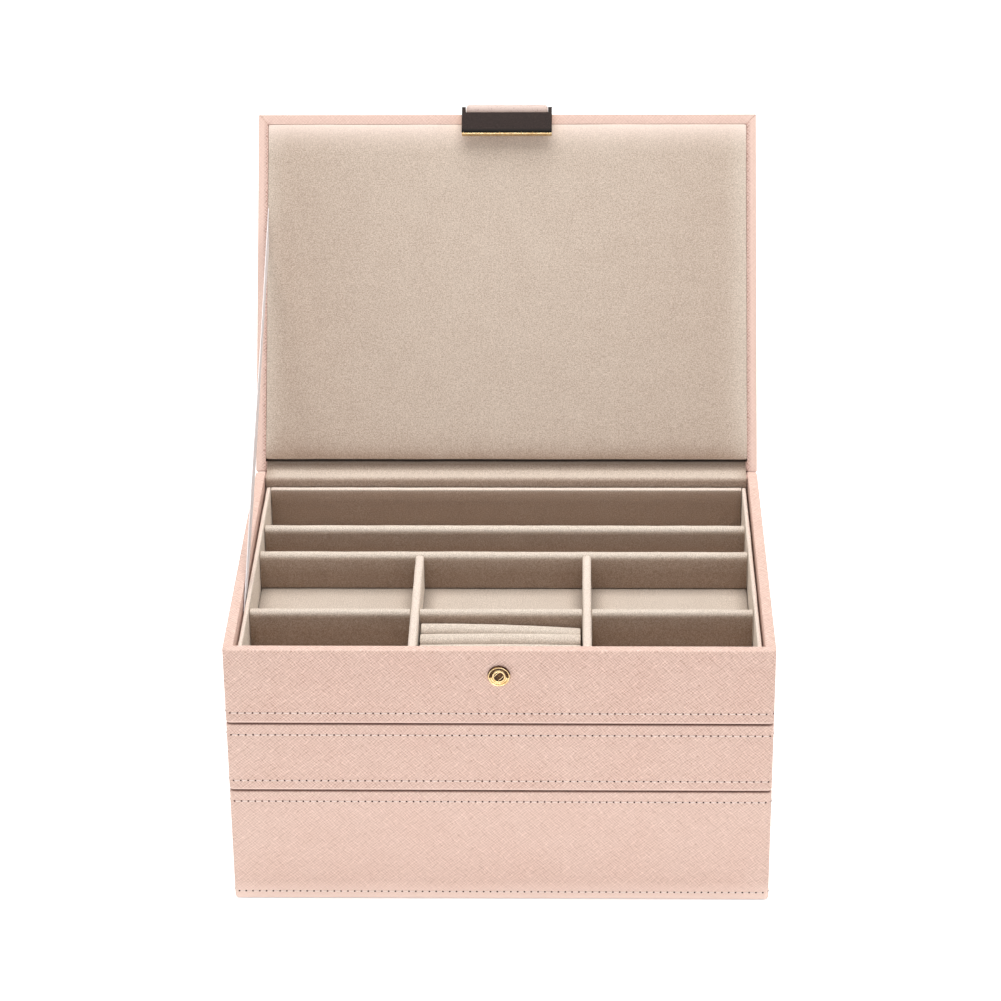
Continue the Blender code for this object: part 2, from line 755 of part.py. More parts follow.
def add_hinge_cloth(collection, frame):
    """The velvet strip inside: over the rear wall and up under the pad."""
    slot = BOX_DEPTH / 2 - WALL - HINGE_CLOTH_GAP / 2
    seat = UPPER_HEIGHT - HINGE_REBATE + FIT_GAP + CLOTH / 2
    bend_y = slot + CLOTH_BEND
    over_wall = arc_points(
        (bend_y, seat - CLOTH_BEND), CLOTH_BEND, math.pi, math.pi / 2, BEND_STEPS
    )
    lid_seat = LID_RIM + HINGE_REBATE - FIT_GAP - CLOTH / 2
    pad_side = -(WALL + PAD_GAP / 2)
    lid_bend = arc_points(
        (pad_side + CLOTH_BEND, lid_seat + CLOTH_BEND),
        CLOTH_BEND,
        -math.pi / 2,
        -math.pi,
        BEND_STEPS,
    )
    profile = [(slot, seat - CLOTH_BEND - CLOTH_TUCK)]
    profile += over_wall
    turn = WALL * CLOTH_TURN_SHARE
    profile.append((BOX_DEPTH / 2 - turn, seat))
    profile.append(in_tier((-turn, lid_seat)))
    profile += [in_tier(point) for point in lid_bend]
    profile.append(in_tier((pad_side, lid_seat + CLOTH_BEND + CLOTH_LID_TUCK)))
    width = BOX_LENGTH - 2 * (WALL + CLOTH_END_GAP)
    add_sheet("hinge_cloth", profile, width, CLOTH, VELVET, collection, frame)


def add_hinge_spine(collection, frame):
    """The leatherette strip outside, folded into the angle behind the lid."""
    behind = BOX_DEPTH / 2 + FIT_GAP + SPINE / 2
    lid_line = in_tier((FIT_GAP + SPINE / 2, 0))
    slope = Vector(in_tier((0, 1))) - Vector(in_tier((0, 0)))
    along = (behind - lid_line[0]) / slope.x
    apex = Vector(lid_line) + slope * along
    half_angle = (math.pi - LID_OPEN_ANGLE) / 2
    run = SPINE_BEND / math.tan(half_angle)
    centre = (behind + SPINE_BEND, apex.y - run)
    fold = arc_points(centre, SPINE_BEND, math.pi, math.pi - LID_OPEN_ANGLE, BEND_STEPS)
    profile = [(behind, UPPER_HEIGHT - SPINE_DROP)]
    profile += fold
    profile.append(in_tier((FIT_GAP + SPINE / 2, SPINE_RISE)))
    width = BOX_LENGTH - 2 * SPINE_END_GAP
    add_sheet("hinge_spine", profile, width, SPINE, LEATHERETTE, collection, frame)


def add_stay_ribbon(collection, frame):
    """The taut ribbon on the left, from the tier's side slot to the lid's."""
    foot = Vector((RIBBON_FROM_FRONT - BOX_DEPTH / 2, UPPER_HEIGHT - LINER_BELOW_RIM))
    head = Vector(in_tier((-RIBBON_FROM_HINGE, LID_RIM)))
    run = head - foot
    length = run.length + 2 * RIBBON_TUCK
    mesh = box_mesh(Vector((RIBBON, length, RIBBON_WIDTH)))
    ribbon = object_from(mesh, "stay_ribbon", collection, frame, SATIN)
    middle = (foot + head) / 2
    ribbon.location = (-LID_LEFT_SLOT, middle.x, middle.y)
    ribbon.rotation_euler = (math.atan2(run.y, run.x), 0, 0)


def snap_below_pivot():
    """How far below the fold the snap is, so that it meets the stud when shut."""
    lean = -TAB_SHUT_LEAN
    line = SNAP_SEAT - FIT_GAP
    stud = -(STUD_BELOW_RIM + LID_RIM)
    return -(stud - TAB_PIVOT.z - line * math.sin(lean)) / math.cos(lean)


def build_tab(collection, cutters, frame):
    """The plate at the strap's end, its enamel face and its snap post."""
    snap = -snap_below_pivot()
    top = snap + SNAP_BELOW_PLATE_TOP
    foot = top - PLATE_HEIGHT
    front = PLATE_BEHIND_PIVOT
    low = Vector((-PLATE_WIDTH / 2, front, foot))
    high = Vector((PLATE_WIDTH / 2, front + PLATE_BODY, top))
    plate = add_board("tab_plate", low, high, GOLD, collection, frame, SMALL_ROUND)
    opening = STRAP_WIDTH + 2 * FIT_GAP
    depth = PLATE_HEIGHT - PLATE_FOOT + CUT_OVERRUN
    pocket = box_mesh(Vector((opening, PLATE_POCKET, depth)))
    middle = front + PLATE_BODY / 2
    location = (0, middle, foot + PLATE_FOOT + depth / 2)
    cut(plate, add_cutter("strap_pocket", pocket, location, cutters, frame))
    notch = box_mesh(Vector((opening, PLATE_HEIGHT, 2 * NOTCH_DEPTH)))
    location = (0, middle, top)
    notch_cutter = add_cutter("strap_notch", notch, location, cutters, frame)
    cut(plate, notch_cutter)
    face = front - FIT_GAP
    low = Vector((-PLATE_WIDTH / 2 + ENAMEL_MARGIN, face - ENAMEL, foot + ENAMEL_MARGIN))
    high = Vector((PLATE_WIDTH / 2 - ENAMEL_MARGIN, face, top - ENAMEL_MARGIN))
    enamel = add_board(
        "tab_enamel", low, high, ENAMEL_GLOSS, collection, frame, SMALL_ROUND
    )
    cut(enamel, notch_cutter)
    profile = [
        (0, 0),
        (SNAP_DISC_RADIUS, 0),
        (SNAP_DISC_RADIUS, SNAP_DISC),
        (SNAP_POST_RADIUS, SNAP_DISC),
        (SNAP_POST_RADIUS, SNAP_DISC + SNAP_POST / 2),
        (SNAP_POST_RADIUS / 2, SNAP_DISC + SNAP_POST),
        (0, SNAP_DISC + SNAP_POST),
    ]
    post = turned_object("tab_snap_post", profile[::-1], collection, frame, GOLD)
    post.rotation_euler = (-math.pi / 2, 0, 0)
    post.location = (0, SNAP_SEAT, snap)
    return top, foot


def add_tab_strap(plate_top, plate_foot, collection, lid_frame):
    """The strap: down the lid's front, out and round its fold, into the plate."""
    turn = Matrix.Rotation(TAB_FOLD, 3, "X")

    def from_tab(height):
        moved = turn @ Vector((0, STRAP_LINE, height)) + TAB_PIVOT
        return Vector((moved.y, moved.z))

    mouth = from_tab(plate_top)
    end = from_tab(plate_foot + PLATE_FOOT + FIT_GAP)
    inward = (end - mouth).normalized()
    fold_end = mouth - inward * STRAP_MOUTH_RUN
    last = math.atan2(inward.y, inward.x) - math.pi / 2
    first = -math.pi - STRAP_FLARE
    centre = fold_end - STRAP_BEND * Vector((math.cos(last), math.sin(last)))
    fold = arc_points(centre, STRAP_BEND, first, last, 2 * BEND_STEPS)
    root = -(LID_DEPTH + FIT_GAP + STRAP / 2)
    sweep_out = root - STRAP_SWEEP * (1 - math.cos(STRAP_FLARE))
    slant = (sweep_out - fold[0][0]) / math.sin(STRAP_FLARE)
    sweep_foot = fold[0][1] + slant * math.cos(STRAP_FLARE)
    sweep_top = sweep_foot + STRAP_SWEEP * math.sin(STRAP_FLARE)
    sweep_centre = (root - STRAP_SWEEP, sweep_top)
    profile = [(root, STRAP_ROOT)]
    profile += arc_points(sweep_centre, STRAP_SWEEP, 0, -STRAP_FLARE, BEND_STEPS)
    profile += fold
    profile += [tuple(mouth), tuple(end)]
    add_sheet(
        "tab_strap", profile, STRAP_WIDTH, STRAP, STRAP_LEATHER, collection, lid_frame
    )


def main():
    """Build the whole box, open, as it is shown."""
    clear_scene()
    collection = new_collection("tiered_jewelry_box")
    cutters = new_collection("cutters")
    lower = new_frame("lower_tier_frame", collection, (0, 0, 0))
    middle = new_frame("middle_tier_frame", collection, (0, 0, MIDDLE_BASE))
    upper = new_frame("upper_tier_frame", collection, (0, 0, UPPER_BASE))
    hinge = new_frame(
        "lid_hinge_frame",
        collection,
        (0, BOX_DEPTH / 2, UPPER_HEIGHT + LID_RIM),
        upper,
        -LID_OPEN_ANGLE,
    )
    fold = new_frame("tab_fold_frame", collection, TAB_PIVOT, hinge, TAB_FOLD)
    build_lower_tier(collection, lower)
    build_middle_tier(collection, middle)
    build_upper_tier(collection, cutters, upper)
    build_lid(collection, cutters, hinge)
    add_hinge_cloth(collection, upper)
    add_hinge_spine(collection, upper)
    add_stay_ribbon(collection, upper)
    plate_top, plate_foot = build_tab(collection, cutters, fold)
    add_tab_strap(plate_top, plate_foot, collection, hinge)
    bpy.context.view_layer.update()


main()
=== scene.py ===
"""Looks of the tiered jewelry box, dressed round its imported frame.

Three stacking tiers in crosshatched blush leatherette stand under an open lid with a velvet
pad. The frame gives every place. The sizes here are those of folds, seams, threads and
grain. All lengths are in metres, with Z up and the front towards -Y.
"""

import logging
import math
from dataclasses import dataclass
from enum import Enum
from typing import Callable, Sequence

import bmesh
import bpy
import numpy as np
from mathutils import Matrix, Vector, noise
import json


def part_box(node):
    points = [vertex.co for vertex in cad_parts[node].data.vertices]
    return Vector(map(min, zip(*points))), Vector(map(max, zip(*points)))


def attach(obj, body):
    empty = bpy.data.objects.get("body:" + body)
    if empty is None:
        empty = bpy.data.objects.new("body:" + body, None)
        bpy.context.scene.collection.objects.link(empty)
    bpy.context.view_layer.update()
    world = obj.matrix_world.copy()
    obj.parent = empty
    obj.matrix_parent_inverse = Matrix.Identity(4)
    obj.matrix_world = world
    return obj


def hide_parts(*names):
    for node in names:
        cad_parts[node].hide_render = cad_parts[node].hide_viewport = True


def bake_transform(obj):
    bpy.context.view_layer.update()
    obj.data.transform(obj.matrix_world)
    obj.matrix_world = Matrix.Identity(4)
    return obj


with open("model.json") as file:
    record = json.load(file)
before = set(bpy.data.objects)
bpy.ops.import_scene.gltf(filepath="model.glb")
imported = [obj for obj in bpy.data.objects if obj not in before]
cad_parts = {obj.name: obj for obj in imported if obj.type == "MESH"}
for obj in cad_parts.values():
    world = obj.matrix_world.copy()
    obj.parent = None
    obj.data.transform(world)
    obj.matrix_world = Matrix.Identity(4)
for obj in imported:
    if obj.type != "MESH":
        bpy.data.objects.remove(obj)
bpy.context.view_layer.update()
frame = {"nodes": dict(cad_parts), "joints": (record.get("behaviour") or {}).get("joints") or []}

log = logging.getLogger("jewelry_box")

MM = 0.001
TINY = 0.00002
SMOOTH_ANGLE = math.radians(38)
UV_METRES = 1.0
TO_FRONT = Matrix.Rotation(math.pi / 2, 4, "X")

Triple = tuple[float, float, float]
Colour = Triple
Pair = tuple[float, float]
Socket = bpy.types.NodeSocket
Edge = bmesh.types.BMEdge
Shade = Callable[[Vector, Vector], float]

WHITE = (1.0, 1.0, 1.0)


def screen(red: int, green: int, blue: int) -> Colour:
    """Turn a colour as a screen shows it into the linear colour a shader takes.

    Args:
        red: Red, from 0 to 255.
        green: Green, from 0 to 255.
        blue: Blue, from 0 to 255.

    Returns:
        The linear red, green and blue.
    """

    def linear(channel: int) -> float:
        """Return one channel as a linear value."""
        value = channel / 255
        return value / 12.92 if value <= 0.04045 else ((value + 0.055) / 1.055) ** 2.4

    return linear(red), linear(green), linear(blue)


class Source(Enum):
    """Where a material's pattern takes its coordinates from."""

    UV = "UV"
    OBJECT = "Object"


class Part(Enum):
    """What an edit-mode selection is made of."""

    VERT = "VERT"
    EDGE = "EDGE"
    FACE = "FACE"


class Side(Enum):
    """A direction in which a velvet panel runs."""

    ACROSS = 0
    ALONG = 1


class NodeBoard:
    """The node tree of one material or world, with short ways to add nodes to it."""

    def __init__(self, holder: bpy.types.Material | bpy.types.World) -> None:
        """Open a new material's or world's tree.

        Args:
            holder: The material or world.
        """
        holder.use_nodes = True
        self.tree = holder.node_tree
        self.shader = self.tree.nodes.get("Principled BSDF")

    def set(self, **values: object) -> None:
        """Feed the shader's own sockets, with _ for a space in their names."""
        for socket, value in values.items():
            self.give(self.shader.inputs[socket.replace("_", " ")], value)

    def add(self, kind: str, *inputs: object, **settings: object) -> bpy.types.Node:
        """Add a node.

        Args:
            kind: The node's type, without the word ShaderNode.
            inputs: Values or outputs for its first input sockets, None to leave one.
            settings: The node's own properties, and by capitalized names its other sockets.

        Returns:
            The new node.
        """
        node = self.tree.nodes.new("ShaderNode" + kind)
        for key, value in settings.items():
            if key[0].isupper():
                self.give(node.inputs[key], value)
            else:
                setattr(node, key, value)
        for socket, value in zip(node.inputs, inputs):
            self.give(socket, value)
        return node

    def give(self, socket: Socket, value: object) -> None:
        """Link an output to a socket, or set the socket's value.

        Args:
            socket: The input socket.
            value: A value or an output, or None to leave the socket alone.
        """
        if isinstance(value, Socket):
            self.tree.links.new(value, socket)
        elif value is not None:
            if isinstance(value, tuple) and len(value) < len(socket.default_value):
                value = (*value, 1.0)
            socket.default_value = value

    def where(self, source: Source) -> Socket:
        """Return the coordinates that a pattern reads."""
        return self.add("TexCoord").outputs[source.value]

    def painted(self, name: str) -> Socket:
        """Return a value that was painted on the piece's vertices."""
        return self.add("Attribute", attribute_name=name).outputs["Fac"]

    def maths(self, operation: str, *values: object) -> Socket:
        """Return the result of one sum on values or outputs."""
        return self.add("Math", *values, operation=operation).outputs[0]

    def noise(self, where: Socket, size: float, detail: float = 2.0) -> Socket:
        """Return noise between about 0.3 and 0.7 whose spots are size metres wide."""
        return self.add("TexNoise", Vector=where, Scale=1 / size, Detail=detail).outputs[0]

    def drawn(self, where: Socket, scale: Triple, detail: float) -> Socket:
        """Return noise that is squeezed by its own scale along each axis."""
        return self.noise(self.add("Mapping", where, None, None, scale).outputs[0], 1.0, detail)

    def cells(self, where: Socket, size: float) -> Socket:
        """Return how far a point lies from the middle of its cell, size metres wide."""
        return self.add("TexVoronoi", feature="F1", Vector=where, Scale=1 / size).outputs[0]

    def along(self, where: Socket, angle: float) -> Socket:
        """Return how far a point lies in a direction of the pattern's plane."""
        direction = (math.cos(angle), math.sin(angle), 0.0)
        return self.add("VectorMath", where, direction, operation="DOT_PRODUCT").outputs["Value"]

    def wave(self, where: Socket, angle: float, pitch: float) -> Socket:
        """Return a sine wave that runs in one direction of the pattern's plane."""
        turn = self.maths("MULTIPLY", self.along(where, angle), math.tau / pitch)
        return self.maths("SINE", turn)

    def ramp(
        self, value: Socket, low: float, high: float, first: float = 0.0, last: float = 1.0
    ) -> Socket:
        """Return the first value at low, the last at high, and evenly between."""
        return self.add("MapRange", value, low, high, first, last).outputs[0]

    def mix(self, share: object, first: object, second: object, how: str = "MIX") -> Socket:
        """Return a colour between two colours or outputs.

        Args:
            share: How much of the second colour shows, from 0 to 1.
            first: The first colour.
            second: The second colour.
            how: How the colours are blended.

        Returns:
            The blended colour.
        """
        node = self.add("Mix", data_type="RGBA", blend_type=how)
        for index, value in ((0, share), (6, first), (7, second)):
            self.give(node.inputs[index], value)
        return node.outputs[2]

    def bump(self, height: Socket, depth: float, strength: float = 1.0) -> None:
        """Raise the surface by a height between 0 and 1, times a depth in metres."""
        node = self.add("Bump", Strength=strength, Distance=depth, Height=height)
        self.set(Normal=node.outputs[0])


class Finish:
    """One surface finish. It makes its material once and gives it to pieces."""

    made: dict[str, bpy.types.Material] = {}
    name: str

    def wire(self, board: NodeBoard) -> None:
        """Lay out the finish's nodes on a board."""
        raise NotImplementedError

    def material(self) -> bpy.types.Material:
        """Return the finish's material, made on first use.

        Returns:
            The material.
        """
        if self.name not in Finish.made:
            Finish.made[self.name] = bpy.data.materials.new(self.name)
            self.wire(NodeBoard(Finish.made[self.name]))
        return Finish.made[self.name]

    def dress(self, piece: bpy.types.Object) -> None:
        """Give a new piece this finish all over."""
        piece.data.materials.clear()
        piece.data.materials.append(self.material())

    def dress_faces(self, piece: bpy.types.Object, chosen: Callable[[Vector], bool]) -> None:
        """Give this finish to the faces whose centres are chosen.

        Args:
            piece: The piece.
            chosen: A test of a face's centre.
        """
        piece.data.materials.append(self.material())
        for face in piece.data.polygons:
            if chosen(face.center):
                face.material_index = len(piece.data.materials) - 1

    def dress_node(self, node: str) -> None:
        """Give a frame node this finish, in its own material slots.

        Args:
            node: The node's name.
        """
        held = frame["nodes"][node]
        if not held.material_slots:
            held.data.materials.append(self.material())
        for slot in held.material_slots:
            slot.material = self.material()


@dataclass(frozen=True)
class Leatherette(Finish):
    """Crosshatched leatherette: two families of short slanting strokes over a fine grain."""

    name: str = "blush_leatherette"
    ridge: Colour = screen(243, 216, 205)
    groove: Colour = screen(180, 143, 128)
    pale_and_lit_tone: Colour = screen(244, 219, 208)
    painted_shade_tone: Colour = screen(126, 60, 38)
    deep: Colour = screen(96, 52, 38)
    clouded: Colour = screen(253, 250, 249)
    pitch: float = 1.18 * MM
    slants: Pair = (math.radians(-48.7), math.radians(42.7))
    wander: float = 1.5
    sway_spot: Pair = (1.6 * MM, 5.5 * MM)
    patch_spot: Pair = (1.1 * MM, 3.4 * MM)
    grain_spot: float = 0.6 * MM
    cloud_spot: float = 26 * MM
    stroke_height: float = 0.245
    grain_height: float = 0.6
    base_height: float = 0.2
    sharpening: float = 1.6
    lightening: float = 0.34
    depth: float = 0.08 * MM

    def strokes(self, board: NodeBoard, where: Socket, slant: float) -> Socket:
        """Return one family of short straight strokes, between -1 and 1.

        Args:
            board: The board.
            where: The pattern's coordinates.
            slant: The direction that runs across the strokes.

        Returns:
            The strokes' height, between -1 and 1.
        """
        across = board.along(where, slant)
        lengthwise = board.along(where, slant + math.pi / 2)

        def drawn_noise(spot: Pair) -> Socket:
            """Return noise whose spots have a width and a length along the strokes.

            Args:
                spot: The spots' width and length.

            Returns:
                The noise.
            """
            spread = (
                board.maths("MULTIPLY", way, 1 / size)
                for way, size in zip((across, lengthwise), spot)
            )
            return board.noise(board.add("CombineXYZ", *spread, slant).outputs[0], 1.0, 1)

        sway = board.maths("MULTIPLY", drawn_noise(self.sway_spot), self.wander * math.tau)
        phase = board.maths("MULTIPLY_ADD", across, math.tau / self.pitch, sway)
        strength = board.ramp(drawn_noise(self.patch_spot), 0.36, 0.62, 0.1, 1.0)
        return board.maths("MULTIPLY", board.maths("SINE", phase), strength)

    def wire(self, board: NodeBoard) -> None:
        """Lay out the strokes, the grain, their colour and the surface's slow unevenness, with the
        paleness and the painted shade painted on the piece.

        Args:
            board: The board.
        """
        where = board.where(Source.UV)
        first, second = (self.strokes(board, where, slant) for slant in self.slants)
        both = board.maths("MULTIPLY", board.maths("ADD", first, second), self.stroke_height)
        grain = board.noise(where, self.grain_spot, 2)
        rough = board.maths("MULTIPLY_ADD", grain, self.grain_height, both)
        raised = board.maths("ADD", rough, self.base_height)
        hatch = board.painted("hatch")
        sharper = board.maths("MULTIPLY_ADD", hatch, self.sharpening, 1.0)
        around = board.maths("MULTIPLY", board.maths("SUBTRACT", raised, 0.5), sharper)
        shift = board.maths("MULTIPLY_ADD", hatch, self.lightening, 0.5)
        share = board.ramp(board.maths("ADD", around, shift), 0.0, 1.0)
        colour = board.mix(share, board.mix(hatch, self.groove, self.deep), self.ridge)
        cloudy = board.ramp(board.noise(where, self.cloud_spot, 2), 0.3, 0.7)
        tinted = board.mix(1.0, colour, board.mix(cloudy, self.clouded, WHITE), "MULTIPLY")
        # Paler where painted: the stretched leatherette of the rims, and painted light on the walls
        # just over the feet and over the lower tier's wall.
        paler_tone = board.mix(board.painted("fade"), tinted, self.pale_and_lit_tone)
        board.bump(raised, self.depth)
        # Painted shade darkens the colour under the tiers' feet, on the lid's rim and along its
        # hinge end's foot.
        board.set(
            Base_Color=board.mix(board.painted("crease"), paler_tone, self.painted_shade_tone),
            Roughness=board.ramp(raised, 0.0, 1.0, 0.62, 0.48),
            Specular_IOR_Level=0.35,
        )


@dataclass(frozen=True)
class Velvet(Finish):
    """Champagne velvet. A share painted on each piece mixes its painted lit and shaded tones:
    painted light and shade, partly the way the velvet's fibres lie.
    """

    name: str = "champagne_velvet"
    lit: Colour = screen(233, 221, 209)
    shaded: Colour = screen(177, 155, 139)
    painted_hollow_shade: Colour = screen(56, 42, 34)
    bloom: Colour = screen(250, 231, 222)
    dust: Colour = screen(204, 200, 196)
    glow: Colour = screen(250, 240, 226)
    fleck: float = 0.45 * MM
    brushed_spot: float = 11 * MM
    brushing: float = 0.16
    depth: float = 0.09 * MM

    def wire(self, board: NodeBoard) -> None:
        """Lay out the painted lit and shaded tones, the painted highlight and shade, the flecks and
        the soft sheen.

        Args:
            board: The board.
        """
        where = board.where(Source.OBJECT)
        fine = board.noise(where, self.fleck, 3)
        brushed = board.maths("SUBTRACT", board.noise(where, self.brushed_spot, 2), 0.5)
        # The painted share of the lit tone: painted light and shade, partly the way the fibres lie.
        drift = board.maths("MULTIPLY_ADD", brushed, self.brushing, board.painted("pile"))
        nap_and_light = board.mix(drift, self.shaded, self.lit)
        specks = board.mix(board.ramp(fine, 0.34, 0.66), self.dust, WHITE)
        dusted = board.mix(1.0, nap_and_light, specks, "MULTIPLY")
        # Painted highlight: paler velvet on upward faces and where the pad's cloth turns over its
        # front edge.
        with_painted_highlight = board.mix(board.painted("bloom"), dusted, self.bloom)
        board.bump(fine, self.depth, 0.8)
        # The painted shade darkens the velvet at the panels' feet, beside upright panels, between
        # the rolls and behind the pad.
        board.set(
            Base_Color=board.mix(board.painted("crease"), with_painted_highlight, self.painted_hollow_shade),
            Roughness=0.92,
            Specular_IOR_Level=0.12,
            Sheen_Weight=0.25,
            Sheen_Roughness=0.4,
            Sheen_Tint=self.glow,
        )


@dataclass(frozen=True)
class Satin(Finish):
    """Woven satin ribbon: fine cross ribs and a soft shine."""

    name: str = "grey_satin_ribbon"
    rib: Colour = screen(238, 233, 235)
    valley: Colour = screen(216, 210, 213)
    pitch: float = 0.4 * MM

    def wire(self, board: NodeBoard) -> None:
        """Lay out ribs across the ribbon and finer warp threads along it.

        Args:
            board: The board.
        """
        where = board.where(Source.UV)
        rib = board.wave(where, 0.0, self.pitch)
        warp = board.wave(where, math.pi / 2, self.pitch / 2)
        weave = board.maths("MULTIPLY_ADD", board.maths("MULTIPLY", rib, warp), 0.5, 0.5)
        board.bump(weave, 0.03 * MM)
        colour = board.mix(weave, self.valley, self.rib)
        board.set(Base_Color=colour, Roughness=0.38, Sheen_Weight=0.3, Sheen_Roughness=0.3)


@dataclass(frozen=True)
class StrapLeather(Finish):
    """Pale, nearly smooth strap leather with small pores."""

    name: str = "pale_strap_leather"
    skin: Colour = screen(208, 188, 180)
    pore: Colour = screen(118, 90, 84)
    shadow: Colour = screen(84, 56, 48)
    pore_width: float = 0.7 * MM
    mottle_spot: float = 1.6 * MM

    def wire(self, board: NodeBoard) -> None:
        """Lay out pores, the painted shade and their bump.

        Args:
            board: The board.
        """
        where = board.where(Source.OBJECT)
        pores = board.ramp(board.cells(where, self.pore_width), 0.05, 0.5)
        mottle = board.noise(where, self.mottle_spot, 3)
        height = board.maths("MULTIPLY_ADD", mottle, 0.8, board.maths("MULTIPLY", pores, 0.6))
        colour = board.mix(board.ramp(height, 0.3, 0.78), self.pore, self.skin)
        shaded = board.mix(board.painted("crease"), colour, self.shadow)
        board.bump(height, 0.07 * MM)
        board.set(Base_Color=shaded, Roughness=0.6, Specular_IOR_Level=0.3)


@dataclass(frozen=True)
class Gold(Finish):
    """Polished pale gold plating with faint hairline scratches."""

    name: str = "pale_gold"
    bright: Colour = screen(236, 214, 172)
    deep: Colour = screen(206, 172, 120)
    hairlines: Triple = (9000.0, 600.0, 600.0)

    def wire(self, board: NodeBoard) -> None:
        """Lay out the plating's tone, its dullness and the scratches.

        Args:
            board: The board.
        """
        where = board.where(Source.OBJECT)
        cloud = board.ramp(board.noise(where, 1.5 * MM, 2), 0.3, 0.7)
        scratch = board.drawn(where, self.hairlines, 2)
        board.bump(scratch, 0.004 * MM, 0.5)
        dull = board.ramp(scratch, 0.3, 0.7, 0.16, 0.3)
        board.set(Base_Color=board.mix(cloud, self.deep, self.bright), Roughness=dull, Metallic=1.0)


@dataclass(frozen=True)
class GoldShade(Finish):
    """Dark brown painted shade and reflection, laid on parts of the gold."""

    name: str = "painted_shade_on_gold"
    brown: Colour = screen(56, 28, 16)
    paler_tone: Colour = screen(126, 92, 56)

    def wire(self, board: NodeBoard) -> None:
        """Lay out the painted shade's patches.

        Args:
            board: The board.
        """
        patch = board.ramp(board.noise(board.where(Source.OBJECT), 0.9 * MM, 2), 0.45, 0.68)
        board.bump(patch, 0.02 * MM)
        board.set(
            Base_Color=board.mix(patch, self.brown, self.paler_tone),
            Metallic=board.ramp(patch, 0.0, 1.0, 0.1, 0.8),
            Roughness=0.4,
            Specular_IOR_Level=0.2,
        )


@dataclass(frozen=True)
class Enamel(Finish):
    """Dark brown gloss enamel with a very slight ripple and dust."""

    name: str = "dark_enamel"
    dark: Colour = screen(38, 28, 26)
    paler_tone: Colour = screen(54, 42, 39)
    deep: Colour = screen(12, 9, 8)

    def wire(self, board: NodeBoard) -> None:
        """Lay out the enamel's ripple, specks, gloss and the painted shade towards its bottom.

        Args:
            board: The board.
        """
        where = board.where(Source.OBJECT)
        speck = board.ramp(board.noise(where, 0.5 * MM, 3), 0.42, 0.7)
        dusty = board.mix(speck, self.dark, self.paler_tone)
        board.bump(board.noise(where, 3 * MM, 1), 0.03 * MM, 0.6)
        board.set(
            Base_Color=board.mix(board.painted("crease"), dusty, self.deep),
            Roughness=board.ramp(speck, 0.0, 1.0, 0.16, 0.28),
            Specular_IOR_Level=0.05,
        )


@dataclass(frozen=True)
class Board(Finish):
    """Grey-brown fibre board faced with matt paper."""

    name: str = "grey_board"
    pale: Colour = screen(186, 176, 164)
    dark: Colour = screen(150, 140, 128)
    fibres: Triple = (300.0, 1800.0, 1800.0)

    def wire(self, board: NodeBoard) -> None:
        """Lay out the paper's fibres and soft stains.

        Args:
            board: The board.
        """
        where = board.where(Source.OBJECT)
        fibre = board.drawn(where, self.fibres, 4)
        stain = board.noise(where, 18 * MM, 2)
        tone = board.maths("MULTIPLY_ADD", stain, 0.6, board.maths("MULTIPLY", fibre, 0.6))
        board.bump(fibre, 0.05 * MM)
        colour = board.mix(board.ramp(tone, 0.4, 0.8), self.dark, self.pale)
        board.set(Base_Color=colour, Roughness=0.88, Specular_IOR_Level=0.2)


@dataclass(frozen=True)
class Foam(Finish):
    """Cream foam with open cells."""

    name: str = "cream_foam"
    wall: Colour = screen(226, 218, 200)
    cell: Colour = screen(176, 166, 146)

    def wire(self, board: NodeBoard) -> None:
        """Lay out the cells and their hollows.

        Args:
            board: The board.
        """
        depth = board.ramp(board.cells(board.where(Source.OBJECT), 1.1 * MM), 0.1, 0.6)
        board.bump(depth, 0.3 * MM)
        colour = board.mix(depth, self.cell, self.wall)
        board.set(Base_Color=colour, Roughness=0.95, Specular_IOR_Level=0.1)


@dataclass(frozen=True)
class Thread(Finish):
    """Pale sewing thread with its twist."""

    name: str = "pale_thread"
    bright: Colour = screen(255, 243, 238)
    dark: Colour = screen(234, 212, 203)

    def wire(self, board: NodeBoard) -> None:
        """Lay out the twist of the thread's plies.

        Args:
            board: The board.
        """
        twist = board.wave(board.where(Source.UV), math.radians(40), 0.3 * MM)
        ply = board.maths("MULTIPLY_ADD", twist, 0.5, 0.5)
        board.bump(ply, 0.03 * MM)
        colour = board.mix(ply, self.dark, self.bright)
        board.set(Base_Color=colour, Roughness=0.6, Sheen_Weight=0.2)


@dataclass(frozen=True)
class NeedleHole(Finish):
    """The shaded inside of a needle hole."""

    name: str = "needle_hole"
    deep: Colour = screen(44, 20, 19)
    edge: Colour = screen(84, 50, 46)

    def wire(self, board: NodeBoard) -> None:
        """Lay out the hole's uneven shade.

        Args:
            board: The board.
        """
        tone = board.noise(board.where(Source.OBJECT), 0.4 * MM, 2)
        board.bump(tone, 0.03 * MM)
        colour = board.mix(board.ramp(tone, 0.3, 0.7), self.deep, self.edge)
        board.set(Base_Color=colour, Roughness=0.9, Specular_IOR_Level=0.1)


LEATHERETTE, VELVET, SATIN, STRAP = Leatherette(), Velvet(), Satin(), StrapLeather()
GOLD, GOLD_SHADE, ENAMEL, BOARD, FOAM = Gold(), GoldShade(), Enamel(), Board(), Foam()
THREAD, NEEDLE_HOLE = Thread(), NeedleHole()


def mode(name: str) -> None:
    """Put the active object in OBJECT or EDIT mode."""
    bpy.ops.object.mode_set(mode=name)


def put_in_scene(item: bpy.types.Object) -> None:
    """Add a new object to the scene."""
    bpy.context.scene.collection.objects.link(item)


